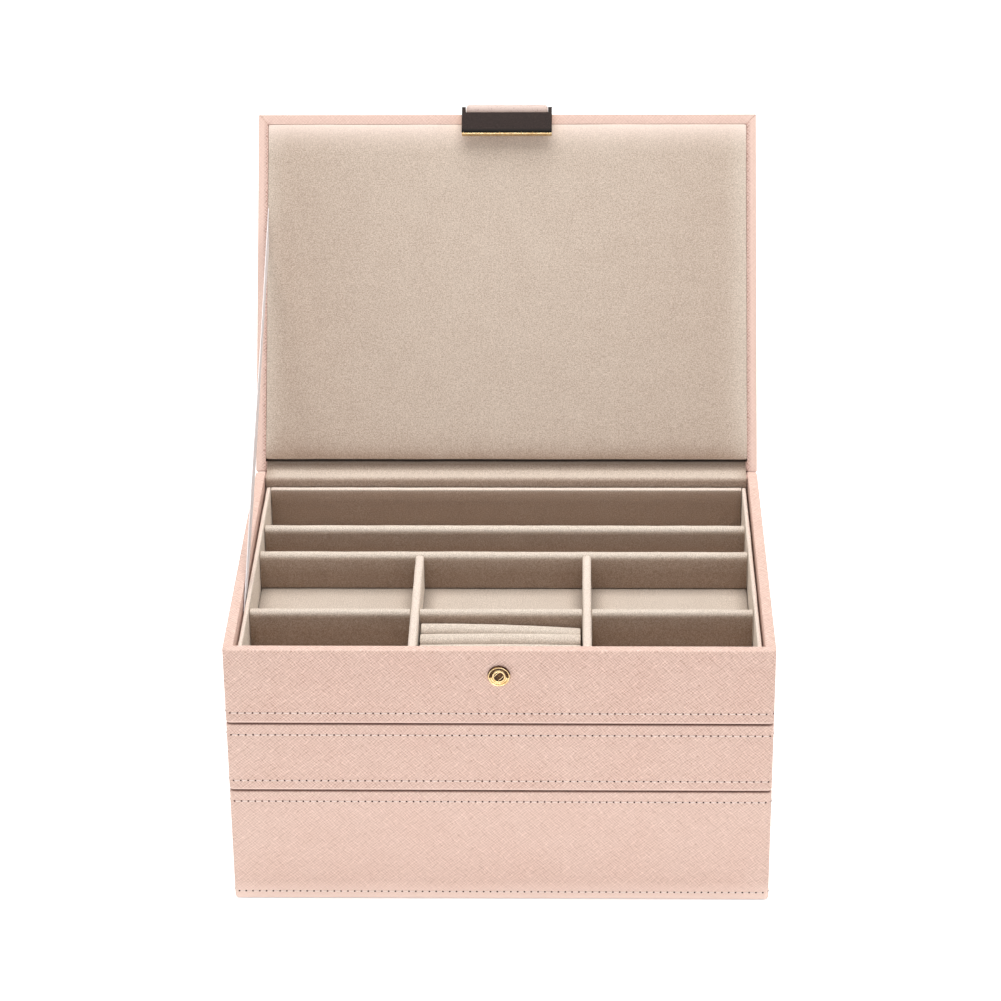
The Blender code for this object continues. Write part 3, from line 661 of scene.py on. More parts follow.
def take_up(*pieces: bpy.types.Object) -> None:
    """Select these pieces and no others, in object mode, and make the first one active.

    Args:
        pieces: The pieces, the active one first.
    """
    active = bpy.context.view_layer.objects.active
    if active is not None and active.mode == "EDIT":
        mode("OBJECT")
    bpy.ops.object.select_all(action="DESELECT")
    for piece in pieces:
        piece.select_set(True)
    if pieces:
        bpy.context.view_layer.objects.active = pieces[0]


def reshape(mesh: bpy.types.Mesh, change: Callable[[Vector, Vector], Vector]) -> None:
    """Move all of a mesh's vertices at once.

    Args:
        mesh: The mesh.
        change: Gives a vertex's new place from its old place and its normal.
    """
    points = [change(vert.co.copy(), vert.normal.copy()) for vert in mesh.vertices]
    mesh.vertices.foreach_set("co", [value for point in points for value in point])
    mesh.update()


def paint(piece: bpy.types.Object, name: str, shade: Shade) -> None:
    """Store a value for each vertex of a piece, for its material to read.

    Args:
        piece: The piece.
        name: The attribute's name. For the velvet's painted light, 0 is the shaded tone and 1 the
            lit one.
        shade: Gives a value from 0 to 1 from a vertex's place and normal.
    """
    layer = piece.data.attributes.new(name, "FLOAT", "POINT")
    values = [max(0.0, min(1.0, shade(vert.co, vert.normal))) for vert in piece.data.vertices]
    layer.data.foreach_set("value", values)


def span(edge: Edge, axis: int) -> float:
    """Return how far an edge runs along one axis."""
    return abs(edge.verts[0].co[axis] - edge.verts[1].co[axis])


def level(edge: Edge, height: float) -> bool:
    """Tell whether an edge lies flat at a height."""
    return all(abs(vert.co.z - height) < TINY for vert in edge.verts)


def folded(edge: Edge, angle: float) -> bool:
    """Tell whether an edge's two faces meet at more than an angle."""
    return len(edge.link_faces) == 2 and edge.calc_face_angle() > angle


class Workpiece:
    """One piece on the bench: a mesh shaped in edit mode, then finished."""

    def __init__(self, name: str) -> None:
        """Take the active object, and open it for editing.

        Args:
            name: The piece's name.
        """
        self.obj = bpy.context.active_object
        self.obj.name = name
        self.obj.data.name = name
        bpy.ops.object.transform_apply(location=True, rotation=True, scale=True)
        mode("EDIT")

    @classmethod
    def block(cls, name: str, low: Vector, high: Vector) -> "Workpiece":
        """Start a piece from a cube stretched between two corners.

        Args:
            name: The piece's name.
            low: The lower corner.
            high: The upper corner.

        Returns:
            The piece, open for editing.
        """
        take_up()
        bpy.ops.mesh.primitive_cube_add(size=1, location=(low + high) / 2, scale=high - low)
        return cls(name)

    @classmethod
    def disc(
        cls, name: str, radius: float, depth: float, sides: int, foot: float = 0.0
    ) -> "Workpiece":
        """Start a piece from a cylinder that stands upright on the Z axis.

        Args:
            name: The piece's name.
            radius: Its radius.
            depth: Its height.
            sides: How many sides it has.
            foot: The height of its lower end.

        Returns:
            The piece, open for editing.
        """
        take_up()
        middle = (0, 0, foot + depth / 2)
        bpy.ops.mesh.primitive_cylinder_add(
            vertices=sides, radius=radius, depth=depth, location=middle
        )
        return cls(name)

    @classmethod
    def strip(cls, name: str, width: float, path: Sequence[Pair]) -> "Workpiece":
        """Start a strip as one flat face, and draw it out along the rest of a path.

        Args:
            name: The piece's name.
            width: Its width along X, half to each side.
            path: The (y, z) points that it follows.

        Returns:
            The piece, open for editing.
        """
        (y0, z0), (y1, z1) = path[0], path[1]
        take_up()
        bpy.ops.mesh.primitive_plane_add(
            size=1,
            location=(0, (y0 + y1) / 2, (z0 + z1) / 2),
            rotation=(math.atan2(z1 - z0, y1 - y0), 0, 0),
        )
        bpy.context.active_object.scale = (width, math.hypot(y1 - y0, z1 - z0), 1)
        piece = cls(name)
        piece.pick(
            Part.EDGE,
            lambda edge: all(math.hypot(v.co.y - y1, v.co.z - z1) < TINY for v in edge.verts),
        )
        for (ya, za), (yb, zb) in zip(path[1:], path[2:]):
            piece.extrude(Vector((0, yb - ya, zb - za)))
        return piece

    @classmethod
    def node(cls, name: str, node: str, place: Matrix) -> "Workpiece":
        """Start a piece from a copy of a frame node, brought into a turned frame.

        Args:
            name: The piece's name.
            node: The frame node's name.
            place: The turned frame that it is brought into.

        Returns:
            The piece, open for editing.
        """
        copy = bpy.data.objects.new(name, frame["nodes"][node].data.copy())
        copy.data.materials.clear()
        put_in_scene(copy)
        take_up(copy)
        copy.data.transform(place.inverted())
        piece = cls(name)
        bpy.ops.mesh.select_all(action="SELECT")
        bpy.ops.mesh.remove_doubles(threshold=TINY)
        return piece

    def pick(self, part: Part, chosen: Callable[..., bool]) -> None:
        """Select the vertices, edges or faces for which chosen is true.

        Args:
            part: What is selected.
            chosen: A test of one vertex, edge or face.
        """
        bpy.ops.mesh.select_mode(type=part.value)
        bpy.ops.mesh.select_all(action="DESELECT")
        mesh = bmesh.from_edit_mesh(self.obj.data)
        pools = {Part.VERT: mesh.verts, Part.EDGE: mesh.edges, Part.FACE: mesh.faces}
        for item in [item for item in pools[part] if chosen(item)]:
            item.select_set(True)
        mesh.select_flush_mode()
        bmesh.update_edit_mesh(self.obj.data)

    def round(
        self, chosen: Callable[[Edge], bool], width: float, segments: int, profile: float = 0.5
    ) -> None:
        """Round the chosen edges.

        Args:
            chosen: A test of one edge.
            width: How far the rounding reaches.
            segments: How many faces it has.
            profile: Its shape, round by default.
        """
        self.pick(Part.EDGE, chosen)
        bpy.ops.mesh.bevel(
            offset=width, segments=segments, profile=profile, affect="EDGES", clamp_overlap=True
        )

    def extrude(self, move: Vector) -> None:
        """Draw the selection out by a vector."""
        bpy.ops.mesh.extrude_region_move(TRANSFORM_OT_translate={"value": move})

    def inset(self, thickness: float) -> None:
        """Inset the selected faces."""
        bpy.ops.mesh.inset(thickness=thickness, depth=0, use_even_offset=True)

    def move(self, by: Sequence[float]) -> None:
        """Move the selection."""
        bpy.ops.transform.translate(value=by)

    def resize(self, by: Sequence[float]) -> None:
        """Scale the selection about its middle."""
        bpy.ops.transform.resize(value=by)

    def turn(self, place: Matrix) -> None:
        """Take the whole mesh to another place.

        Args:
            place: The transform.
        """
        mode("OBJECT")
        self.obj.data.transform(place)
        mode("EDIT")

    def cut(self, axis: int, *places: float) -> None:
        """Cut every face across one axis, at each of some places along it.

        Args:
            axis: 0 for X, 1 for Y or 2 for Z.
            places: Where the cuts go along the axis.
        """
        normal = Vector([float(index == axis) for index in range(3)])
        for place in places:
            self.slice(normal * place, normal)

    def slice(self, point: Vector, normal: Vector) -> None:
        """Cut every face with a plane, and keep both sides."""
        bpy.ops.mesh.select_all(action="SELECT")
        bpy.ops.mesh.bisect(plane_co=point, plane_no=normal)

    def divide(self, axis: int, low: float, high: float, count: int) -> None:
        """Cut the piece into so many even slices along one axis."""
        self.cut(axis, *(low + (high - low) * index / count for index in range(1, count)))

    def slices(self, axis: int, low: float, high: float, pitch: float) -> None:
        """Cut the piece into even slices about as thick as a pitch."""
        self.divide(axis, low, high, max(2, round((high - low) / pitch)))

    def modify(self, kind: str, **settings: object) -> None:
        """Add a modifier and apply it at once.

        Args:
            kind: The modifier's type.
            settings: Its settings.
        """
        mode("OBJECT")
        modifier = self.obj.modifiers.new(kind, kind)
        for key, value in settings.items():
            setattr(modifier, key, value)
        bpy.ops.object.modifier_apply(modifier=modifier.name)
        mode("EDIT")

    def thicken(self, thickness: float) -> None:
        """Give an open sheet its thickness, half to each side.

        Args:
            thickness: The thickness.
        """
        bpy.ops.mesh.select_all(action="SELECT")
        bpy.ops.mesh.normals_make_consistent(inside=False)
        self.modify("SOLIDIFY", thickness=thickness, offset=0.0, use_even_offset=True)

    def carve(self, cutter: "Workpiece") -> None:
        """Cut another workpiece's shape away, and throw that piece out.

        Args:
            cutter: The workpiece that is cut away.
        """
        take_up(self.obj)
        self.modify("BOOLEAN", operation="DIFFERENCE", solver="EXACT", object=cutter.obj)
        bpy.data.objects.remove(cutter.obj, do_unlink=True)

    def ruffle(self, amount: float, size: float, shift: float = 0.0) -> None:
        """Make the surface slightly uneven, as hand-laid cloth is.

        Args:
            amount: The largest push, in or out.
            size: How wide the swells are.
            shift: Moves the pattern, so that like pieces differ.
        """
        offset = Vector((shift, shift, shift))
        mode("OBJECT")
        reshape(
            self.obj.data,
            lambda co, normal: co + normal * amount * noise.noise((co + offset) / size),
        )
        mode("EDIT")

    def puff(self, reach: Triple, pinned: Callable[[Vector], bool]) -> None:
        """Fill the piece's cloth by pressure, as wadding does.

        Args:
            reach: How far a point may move along X, Y and Z.
            pinned: Tells whether a point is glued down.
        """
        pressure, frames = 4.0, 20
        mode("OBJECT")
        mesh = self.obj.data
        rest = np.array([vert.co for vert in mesh.vertices])
        held = self.obj.vertex_groups.new(name="glued")
        held.add([vert.index for vert in mesh.vertices if pinned(vert.co)], 1.0, "REPLACE")
        cloth = self.obj.modifiers.new("Cloth", "CLOTH")
        cloth.settings.use_pressure = True
        cloth.settings.uniform_pressure_force = pressure
        cloth.settings.effector_weights.gravity = 0.0
        cloth.settings.vertex_group_mass = held.name
        cloth.point_cache.frame_start = 1
        cloth.point_cache.frame_end = frames
        scene = bpy.context.scene
        for step in range(1, frames + 1):
            scene.frame_set(step)
        filled = self.obj.evaluated_get(bpy.context.evaluated_depsgraph_get())
        moved = np.array([vert.co for vert in filled.data.vertices])
        self.obj.modifiers.remove(cloth)
        self.obj.vertex_groups.remove(held)
        scene.frame_set(1)
        limit = np.array(reach)
        points = rest + np.clip(moved - rest, -limit, limit)
        mesh.vertices.foreach_set("co", points.astype(np.float32).ravel())
        mesh.update()
        mode("EDIT")

    def done(self, finish: Finish, place: Matrix | None = None) -> bpy.types.Object:
        """Close the piece: turn its faces out, lay its UV map, and shade it.

        Args:
            finish: Its finish.
            place: Takes it from the frame it was made in to the box's frame.

        Returns:
            The finished object, at the origin.
        """
        bpy.ops.mesh.select_mode(type="FACE")
        bpy.ops.mesh.select_all(action="SELECT")
        bpy.ops.mesh.remove_doubles(threshold=TINY / 20)
        bpy.ops.mesh.normals_make_consistent(inside=False)
        bpy.ops.uv.cube_project(
            cube_size=UV_METRES, correct_aspect=False, clip_to_bounds=False, scale_to_bounds=False
        )
        mode("OBJECT")
        bpy.ops.object.shade_smooth_by_angle(angle=SMOOTH_ANGLE)
        if place is not None:
            self.obj.data.transform(place)
        finish.dress(self.obj)
        return self.obj


def describe(piece: bpy.types.Object, slot: str | None, *nodes: str) -> None:
    """Hide the frame nodes that a piece stands for, and report it.

    Args:
        piece: The piece.
        slot: The record's material slot, or None for a sundry. Not used.
        nodes: The frame nodes that it stands for.
    """
    if nodes:
        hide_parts(*nodes)
    log.info("%s: %d faces, for %s", piece.name, len(piece.data.polygons), nodes or "no node")


def settle(piece: bpy.types.Object, body: str, slot: str | None, *nodes: str) -> None:
    """Tie a finished piece to its body, and hide the nodes that it stands for.

    Args:
        piece: The finished piece.
        body: The body that it moves with.
        slot: The record's material slot, or None for a sundry. Passed on, and not used.
        nodes: The frame nodes that it replaces.
    """
    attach(piece, body)
    describe(piece, slot, *nodes)


def box_in(node: str, place: Matrix) -> tuple[Vector, Vector]:
    """Find a frame node's corners in a turned frame.

    Args:
        node: The node's name.
        place: The turned frame.

    Returns:
        The lowest and the highest corner there.
    """
    inverse = np.array(place.inverted())
    points = np.array([vert.co for vert in frame["nodes"][node].data.vertices])
    local = points @ inverse[:3, :3].T + inverse[:3, 3]
    return Vector(local.min(0)), Vector(local.max(0))


def joint(name: str) -> dict:
    """Return one joint of the frame by its name."""
    return next(item for item in frame["joints"] if item["name"] == name)


def turned(pivot: Vector, angle: float) -> Matrix:
    """Return the frame of a part that turned about an X axis through a pivot."""
    return Matrix.Translation(pivot) @ Matrix.Rotation(angle, 4, "X")


def arc(centre: Pair, radius: float, start: float, end: float, steps: int) -> list[Pair]:
    """Return the (y, z) points of an arc between two angles in degrees.

    Args:
        centre: The arc's centre.
        radius: Its radius.
        start: The angle where it starts.
        end: The angle where it ends.
        steps: How many straight steps it has.

    Returns:
        The (y, z) points, one more than the steps.
    """
    angles = [math.radians(start + (end - start) * index / steps) for index in range(steps + 1)]
    y, z = centre
    return [(y + radius * math.cos(angle), z + radius * math.sin(angle)) for angle in angles]


HINGE = Vector(joint("lid_hinge")["pos_m"])
LID_OPEN = math.radians(joint("lid_hinge")["range_deg"][1])
LID_PLACE = turned(HINGE, -LID_OPEN)
TAB_FOLDED = math.radians(69.0)
TAB_PLACE = turned(Vector(joint("tab_fold")["pos_m"]), TAB_FOLDED - LID_OPEN)
LID_WAY = LID_PLACE.to_3x3() @ Vector((0, -1, 0))
HINGE_ANGLE = (math.pi - LID_OPEN) / 2

WALL = 4.8 * MM
CORNER = 2.2 * MM
REBATE = 1.3 * MM


def in_world(point: Pair) -> Pair:
    """Take a (y, z) place from the shut lid's frame to the box's."""
    moved = LID_PLACE @ Vector((0, *point))
    return moved.y, moved.z


def inward(value: float, low: float, high: float) -> float:
    """Return how far a value lies inside the nearer end of a range."""
    return min(value - low, high - value)


def fading(distance: float, reach: float) -> float:
    """Return 1 where the distance is 0, and less and less beyond."""
    return math.exp(-max(distance, 0.0) / reach)


def step_rear(piece: Workpiece, high: Vector, bottom: float, top: float) -> None:
    """Cut the hinge cloth's step out of a shell's rear wall.

    Args:
        piece: The shell.
        high: The shell's upper corner.
        bottom: Where the cut begins.
        top: Where the cut ends.
    """
    inside = high.x - WALL
    low = Vector((-inside, high.y - WALL * 1.3, bottom))
    piece.carve(Workpiece.block("rebate_cutter", low, Vector((inside, high.y + WALL, top))))


@dataclass
class Seam:
    """A row of stitches right round a tier, at one height."""

    low: Vector
    high: Vector
    height: float
    corner: float
    pitch: float

    def stations(self) -> list[tuple[Vector, float]]:
        """Return the evenly spaced places of the row, each with its heading.

        Returns:
            Each place, and its heading about Z.
        """
        half = Vector(((self.high.x - self.low.x) / 2, (self.high.y - self.low.y) / 2))
        centre = (self.high + self.low) / 2
        straight = (2 * (half.x - self.corner), 2 * (half.y - self.corner))
        bend = self.corner * math.pi / 2
        total = 2 * sum(straight) + 4 * bend
        count = round(total / self.pitch)
        found = []
        for index in range(count):
            run = total * index / count
            for quarter in range(4):
                length = straight[quarter % 2]
                if run <= length + bend:
                    break
                run -= length + bend
            turn = quarter * math.pi / 2
            side = half.x if quarter % 2 else half.y
            reach = Vector((min(run, length) - length / 2, -side))
            heading = 0.0
            if run > length:
                heading = (run - length) / self.corner
                pivot = Vector((length / 2, self.corner - side))
                reach = pivot + self.corner * Vector((math.sin(heading), -math.cos(heading)))
            spot = Matrix.Rotation(turn, 2) @ reach
            place = Vector((centre.x + spot.x, centre.y + spot.y, self.height))
            found.append((place, turn + heading))
        return found


@dataclass
class Stitching:
    """The threads and needle holes of a tier's seams."""

    name: str
    body: str
    thread: float = 0.48 * MM
    hole: float = 0.44 * MM
    sides: int = 8

    def thread_pattern(self, length: float) -> bpy.types.Object:
        """Model one stitch that dives into the leatherette at both ends.

        Args:
            length: The stitch's length.

        Returns:
            The stitch, lying along X.
        """
        low = Vector((-length, -self.thread, -self.thread)) / 2
        piece = Workpiece.block("stitch_pattern", low, -low)
        piece.cut(0, -0.3 * length, 0.3 * length)
        piece.round(lambda edge: span(edge, 0) > TINY, self.thread * 0.28, 2)
        for side in (-1, 1):
            piece.pick(Part.VERT, lambda vert: vert.co.x * side > length * 0.45)
            piece.resize((1, 0.55, 0.55))
            piece.move((0, self.thread * 0.55, 0))
        return piece.done(THREAD)

    def hole_pattern(self) -> bpy.types.Object:
        """Model one needle hole: a small pucker with a sunk middle, dark with the hole's painted
        shade.

        Returns:
            The hole, facing the front.
        """
        piece = Workpiece.disc("hole_pattern", self.hole, self.hole / 3, self.sides)
        piece.pick(Part.FACE, lambda face: face.normal.z > 0.9)
        piece.resize((0.8, 0.8, 1))
        piece.inset(self.hole * 0.25)
        piece.move((0, 0, -self.hole / 4))
        piece.turn(TO_FRONT)
        return piece.done(NEEDLE_HOLE)

    def repeat(self, pattern: bpy.types.Object, name: str, places: Sequence[Matrix]) -> None:
        """Copy a pattern to each place, and join the copies into one piece.

        Args:
            pattern: The object that is copied and then thrown out.
            name: The piece's name after the seam's.
            places: Where the copies go.
        """
        copies = []
        for place in places:
            copy = pattern.copy()
            copy.data = pattern.data.copy()
            copy.data.transform(place)
            put_in_scene(copy)
            copies.append(copy)
        bpy.data.objects.remove(pattern, do_unlink=True)
        take_up(*copies)
        bpy.ops.object.join()
        joined = bpy.context.active_object
        joined.name = joined.data.name = f"{self.name}_{name}"
        settle(joined, self.body, None)

    def build(self, seams: Sequence[Seam]) -> None:
        """Make the stitches and the holes of all the seams.

        Args:
            seams: The seams, all of one pitch.
        """
        threads, holes = [], []
        for seam in seams:
            spots = seam.stations()
            for (here, heading), (there, _) in zip(spots, spots[1:] + spots[:1]):
                way = there - here
                turn = Matrix.Rotation(math.atan2(way.y, way.x), 4, "Z")
                threads.append(Matrix.Translation((here + there) / 2) @ turn)
                holes.append(Matrix.Translation(here) @ Matrix.Rotation(heading, 4, "Z"))
        stitch = self.thread_pattern(seams[0].pitch - 1.4 * self.hole)
        self.repeat(stitch, "thread", threads)
        self.repeat(self.hole_pattern(), "needle_holes", holes)


@dataclass
class TierShell:
    """The leatherette-covered walls of one tier, with pressed seam lines."""

    tier: str
    seams_from_top: tuple[float, ...] = ()
    seams_from_foot: tuple[float, ...] = ()
    stitch: float = 3.44 * MM
    # The wall's own paleness, and the stretched rim's paleness.
    fade: float = 0.0
    rim_paleness: float = 0.1
    rim_drop: float = 0.7 * MM
    foot_drop: float = 0.2 * MM
    # Painted light on the wall just over the foot and the height it reaches, then the painted shade
    # under the foot.
    foot_painted_light: float = 0.9
    foot_glow: float = 0.5 * MM
    foot_shade: float = 1.0
    rim_round: float = 0.6 * MM
    foot_round: float = 0.8 * MM
    groove: float = 0.55 * MM
    groove_depth: float = 0.16 * MM

    def ring(self, low: Vector, high: Vector) -> Workpiece:
        """Shape the four walls from a block, open above and below.

        Args:
            low: The lower corner.
            high: The upper corner.

        Returns:
            The walls, open for editing.
        """
        piece = Workpiece.block(f"{self.tier}_leatherette_walls", low, high)
        piece.pick(Part.FACE, lambda face: abs(face.normal.z) > 0.9)
        piece.inset(WALL)
        bpy.ops.mesh.delete(type="ONLY_FACE")
        piece.pick(Part.EDGE, lambda edge: edge.is_boundary or not edge.link_faces)
        bpy.ops.mesh.bridge_edge_loops()
        piece.round(
            lambda edge: span(edge, 2) > WALL
            and all(abs(vert.co.x) > high.x - TINY for vert in edge.verts),
            CORNER,
            7,
        )
        return piece

    def press_seam(self, piece: Workpiece, high: Vector, height: float) -> None:
        """Press a shallow line into the leatherette where a seam runs.

        Args:
            piece: The walls.
            high: The upper corner.
            height: The seam's height.
        """
        piece.cut(2, height - self.groove, height, height + self.groove)
        piece.pick(
            Part.VERT,
            lambda vert: abs(vert.co.z - height) < TINY
            and (abs(vert.co.x) > high.x - WALL / 2 or abs(vert.co.y) > high.y - WALL / 2),
        )
        bpy.ops.transform.shrink_fatten(value=-self.groove_depth)

    def build(self) -> None:
        """Build the walls, their rounded rims, their seams and the cuts that fit the hinge."""
        node, body = f"{self.tier}_shell", f"{self.tier}_tier"
        low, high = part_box(node)
        heights = [high.z - seam for seam in self.seams_from_top]
        heights += [low.z + seam for seam in self.seams_from_foot]
        high.z -= self.rim_drop
        low.z -= self.foot_drop
        piece = self.ring(low, high)
        for height in heights:
            self.press_seam(piece, high, height)
        for end, radius, steps in ((high.z, self.rim_round, 4), (low.z, self.foot_round, 5)):
            piece.round(lambda edge: level(edge, end) and folded(edge, 0.5), radius, steps)
        piece.cut(2, low.z + self.foot_round + self.foot_glow)
        self.fit(piece, low, high)
        walls = piece.done(LEATHERETTE)
        self.paint_light_and_shade(walls, low, high)
        settle(walls, body, "leatherette", node)
        rows = [Seam(low, high, height, CORNER, self.stitch) for height in heights]
        Stitching(f"{self.tier}_seam", body).build(rows)

    def paint_light_and_shade(self, walls: bpy.types.Object, low: Vector, high: Vector) -> None:
        """Lay the painted shade under the foot, the paler stretched leatherette on the rim, and
        painted light on the wall just over the foot.

        Args:
            walls: The finished walls.
            low: The lower corner.
            high: The upper corner.
        """
        reach = 0.75 * self.foot_round
        top = high.z - self.rim_round

        def pale_and_lit(point: Vector, _: Vector) -> float:
            """Paler on the rim where the leatherette is stretched, with painted light on the wall
            just over the foot, and the wall's own paleness elsewhere.

            Args:
                point: The vertex's place.

            Returns:
                The paleness there.
            """
            if point.z > top + TINY:
                return self.rim_paleness
            rise = (point.z - low.z - self.foot_round) / self.foot_glow
            return self.fade + (self.foot_painted_light - self.fade) * max(0.0, 1 - max(rise, 0.0))

        # Painted shade in the gap under the foot; then the paleness, with painted light over the
        # foot.
        paint(walls, "crease", lambda co, _: self.foot_shade * (1.15 - (co.z - low.z) / reach))
        paint(walls, "fade", pale_and_lit)

    def fit(self, piece: Workpiece, low: Vector, high: Vector) -> None:
        """Make room for what passes through the walls. Plain tiers need none."""


@dataclass
class UpperShell(TierShell):
    """The top tier's walls, with the hinge's rebate and the stud's hole."""

    stud_hole: float = 2.3 * MM

    def fit(self, piece: Workpiece, low: Vector, high: Vector) -> None:
        """Step the rear wall's top down for the cloth, and bore the front for the stud.

        Args:
            piece: The walls.
            low: The lower corner.
            high: The upper corner.
        """
        step_rear(piece, high, high.z - REBATE, high.z + WALL)
        near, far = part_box("press_stud_cap")
        middle = (near + far) / 2
        bore = Workpiece.disc("stud_cutter", self.stud_hole, 3 * WALL, 32, -WALL)
        bore.turn(Matrix.Translation((middle.x, low.y + WALL / 2, middle.z)) @ TO_FRONT)
        piece.carve(bore)


@dataclass
class VelvetPanel:
    """A card panel wrapped in velvet: a liner or a divider."""

    node: str
    body: str
    top_round: float
    rear_round: float = 0.7 * MM
    end_round: float = 0.4 * MM
    foot_round: float = 0.6 * MM
    cell: float = 6 * MM
    lines_from_top: tuple[float, ...] = (1.6 * MM, 2.4 * MM, 3.4 * MM)
    foot_line: float = 1.2 * MM
    unevenness: float = 0.14 * MM
    swell: float = 9 * MM
    # Painted highlight: its reach below the top edge and its strength, then its strength on the
    # upward faces.
    brow: float = 5.0 * MM
    lift: float = 1.8
    crest: float = 0.0
    foot_shade: float = 0.9
    foot_reach: float = 0.5 * MM

    def build(self) -> None:
        """Build the wrapped panel, with a soft top and slightly uneven cloth."""
        low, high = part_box(self.node)
        size = high - low
        middle = (low + high) / 2
        runs = Side.ACROSS if size.x > size.y else Side.ALONG
        axis = runs.value
        piece = Workpiece.block(f"{self.node}_velvet", low, high)
        rounds = (
            (high.z, -1, self.top_round, 5),
            (high.z, 1, self.rear_round if runs == Side.ACROSS else self.top_round, 4),
            (low.z, -1, self.foot_round, 2),
            (low.z, 1, self.foot_round, 2),
        )
        for height, side, radius, steps in rounds:
            piece.round(
                lambda edge: level(edge, height)
                and all(
                    (vert.co[1 - axis] - middle[1 - axis]) * side > TINY for vert in edge.verts
                ),
                radius,
                steps,
            )
        piece.round(
            lambda edge: folded(edge, 0.6)
            and all(vert.co.z > low.z + TINY for vert in edge.verts),
            self.end_round,
            2,
        )
        piece.slices(axis, low[axis], high[axis], self.cell)
        piece.cut(2, *(high.z - line for line in self.lines_from_top))
        piece.cut(2, low.lerp(high, 0.4).z, low.z + self.foot_line)
        piece.ruffle(self.unevenness, self.swell, len(self.node) * self.cell)
        panel = piece.done(VELVET)

        def nap_and_light(point: Vector, normal: Vector) -> float:
            """Painted light: light on top and at the sides, dark on the upright front, lighter
            still just below the top edge.
            """
            brow = max(0.0, 1 - (high.z - point.z) / self.brow)
            return 1.0 - min(1.0, abs(normal.y)) ** 1.6 + self.lift * brow**2

        def foot(point: Vector, _: Vector) -> float:
            """Painted shade: dark where the panel meets the floor."""
            return self.foot_shade * (1 - (point.z - low.z) / self.foot_reach)

        paint(panel, "pile", nap_and_light)
        # Painted highlight on the upward faces.
        paint(panel, "bloom", lambda _, normal: self.crest * max(0.0, normal.z) ** 2)
        paint(panel, "crease", foot)
        settle(panel, self.body, "velvet", self.node)


@dataclass
class FloorPad:
    """A velvet-covered floor panel, with painted shade beside the upright panels that run along Y.
    """

    node: str
    body: str
    walls: tuple[str, ...]
    edge_round: float = 0.6 * MM
    cells: Pair = (1.6 * MM, 8 * MM)
    unevenness: float = 0.12 * MM
    swell: float = 16 * MM
    nap_and_light: float = 0.81
    shade: float = 0.36
    reach: float = 7.0 * MM

    def build(self) -> None:
        """Build the panel with soft edges and slightly uneven cloth."""
        boxes = [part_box(wall) for wall in self.walls]
        low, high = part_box(self.node)
        piece = Workpiece.block(f"{self.node}_velvet", low, high)
        piece.round(lambda edge: level(edge, high.z), self.edge_round, 3)
        for axis in (0, 1):
            piece.slices(axis, low[axis], high[axis], self.cells[axis])
        piece.ruffle(self.unevenness, self.swell, len(self.node) * MM)
        floor = piece.done(VELVET)

        def beside(point: Vector, _: Vector) -> float:
            """Painted shade: darker the nearer the next upright panel stands.

            Args:
                point: The vertex's place.

            Returns:
                The shade there.
            """
            gaps = [
                max(near.x - point.x, point.x - far.x, 0.0)
                for near, far in boxes
                if near.y < point.y < far.y
            ]
            return self.shade * max(0.0, 1 - min(gaps) / self.reach) ** 1.5 if gaps else 0.0

        # The floor's painted share of the lit tone is the same all over.
        paint(floor, "pile", lambda *_: self.nap_and_light)
        paint(floor, "crease", beside)
        settle(floor, self.body, "velvet", self.node)


@dataclass
class RingRoll:
    """One velvet roll of the ring holder: foam wrapped in cloth, open at its ends."""

    index: int
    top_round: float = 4.1 * MM
    foot_round: float = 1.6 * MM
    end_round: float = 0.5 * MM
    slack: float = 0.15 * MM
    cell: float = 2.4 * MM
    fullness: Triple = (0.05 * MM, 0.12 * MM, 0.2 * MM)
    unevenness: float = 0.1 * MM
    swell: float = 7 * MM
    rear_sag: float = 2.4 * MM
    crown: float = 0.5 * MM

    def build(self) -> None:
        """Round the roll, let pressure fill it, let the rear one sag, and paint its light and
        shade.
        """
        node = f"ring_roll_{self.index}"
        low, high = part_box(node)
        high.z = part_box("ring_roll_2")[1].z
        slim = Vector((0, self.slack, 0))
        piece = Workpiece.block(f"{node}_velvet", low + slim, high - slim)
        for end, radius, steps in ((high.z, self.top_round, 6), (low.z, self.foot_round, 2)):
            piece.round(lambda edge: level(edge, end) and span(edge, 0) > TINY, radius, steps)
        piece.round(lambda edge: folded(edge, 1.2), self.end_round, 2)
        piece.slices(0, low.x, high.x, self.cell)
        piece.slices(2, low.z, high.z - self.top_round, self.cell)
        piece.puff(self.fullness, lambda co: co.z < low.z + TINY)
        piece.modify("SUBSURF", levels=1, render_levels=1)
        piece.ruffle(self.unevenness, self.swell, self.index * self.cell)
        roll = piece.done(VELVET)

        def settle_down(point: Vector, _: Vector) -> Vector:
            """Lower the roll's top: towards both ends, and at one end if it is the rear one.

            Args:
                point: The vertex's place.

            Returns:
                The vertex's new place.
            """
            share = max(0.0, (point.x - low.x) / (high.x - low.x))
            drop = self.crown * (2 * share - 1) ** 2
            if self.index == 1:
                drop += self.rear_sag * share**1.4
            rise = (point.z - low.z) / (high.z - low.z)
            return Vector((point.x, point.y, point.z - drop * max(0.0, rise)))

        reshape(roll.data, settle_down)
        roll.data.shade_smooth()
        # Painted light, lighter on the upward faces, and painted shade on the sides that face the
        # next rolls.
        paint(roll, "pile", lambda _, normal: 0.3 + 0.75 * max(0.0, normal.z))
        paint(roll, "crease", lambda _, normal: 0.5 - normal.z)
        settle(roll, "upper_tier", "velvet", node)


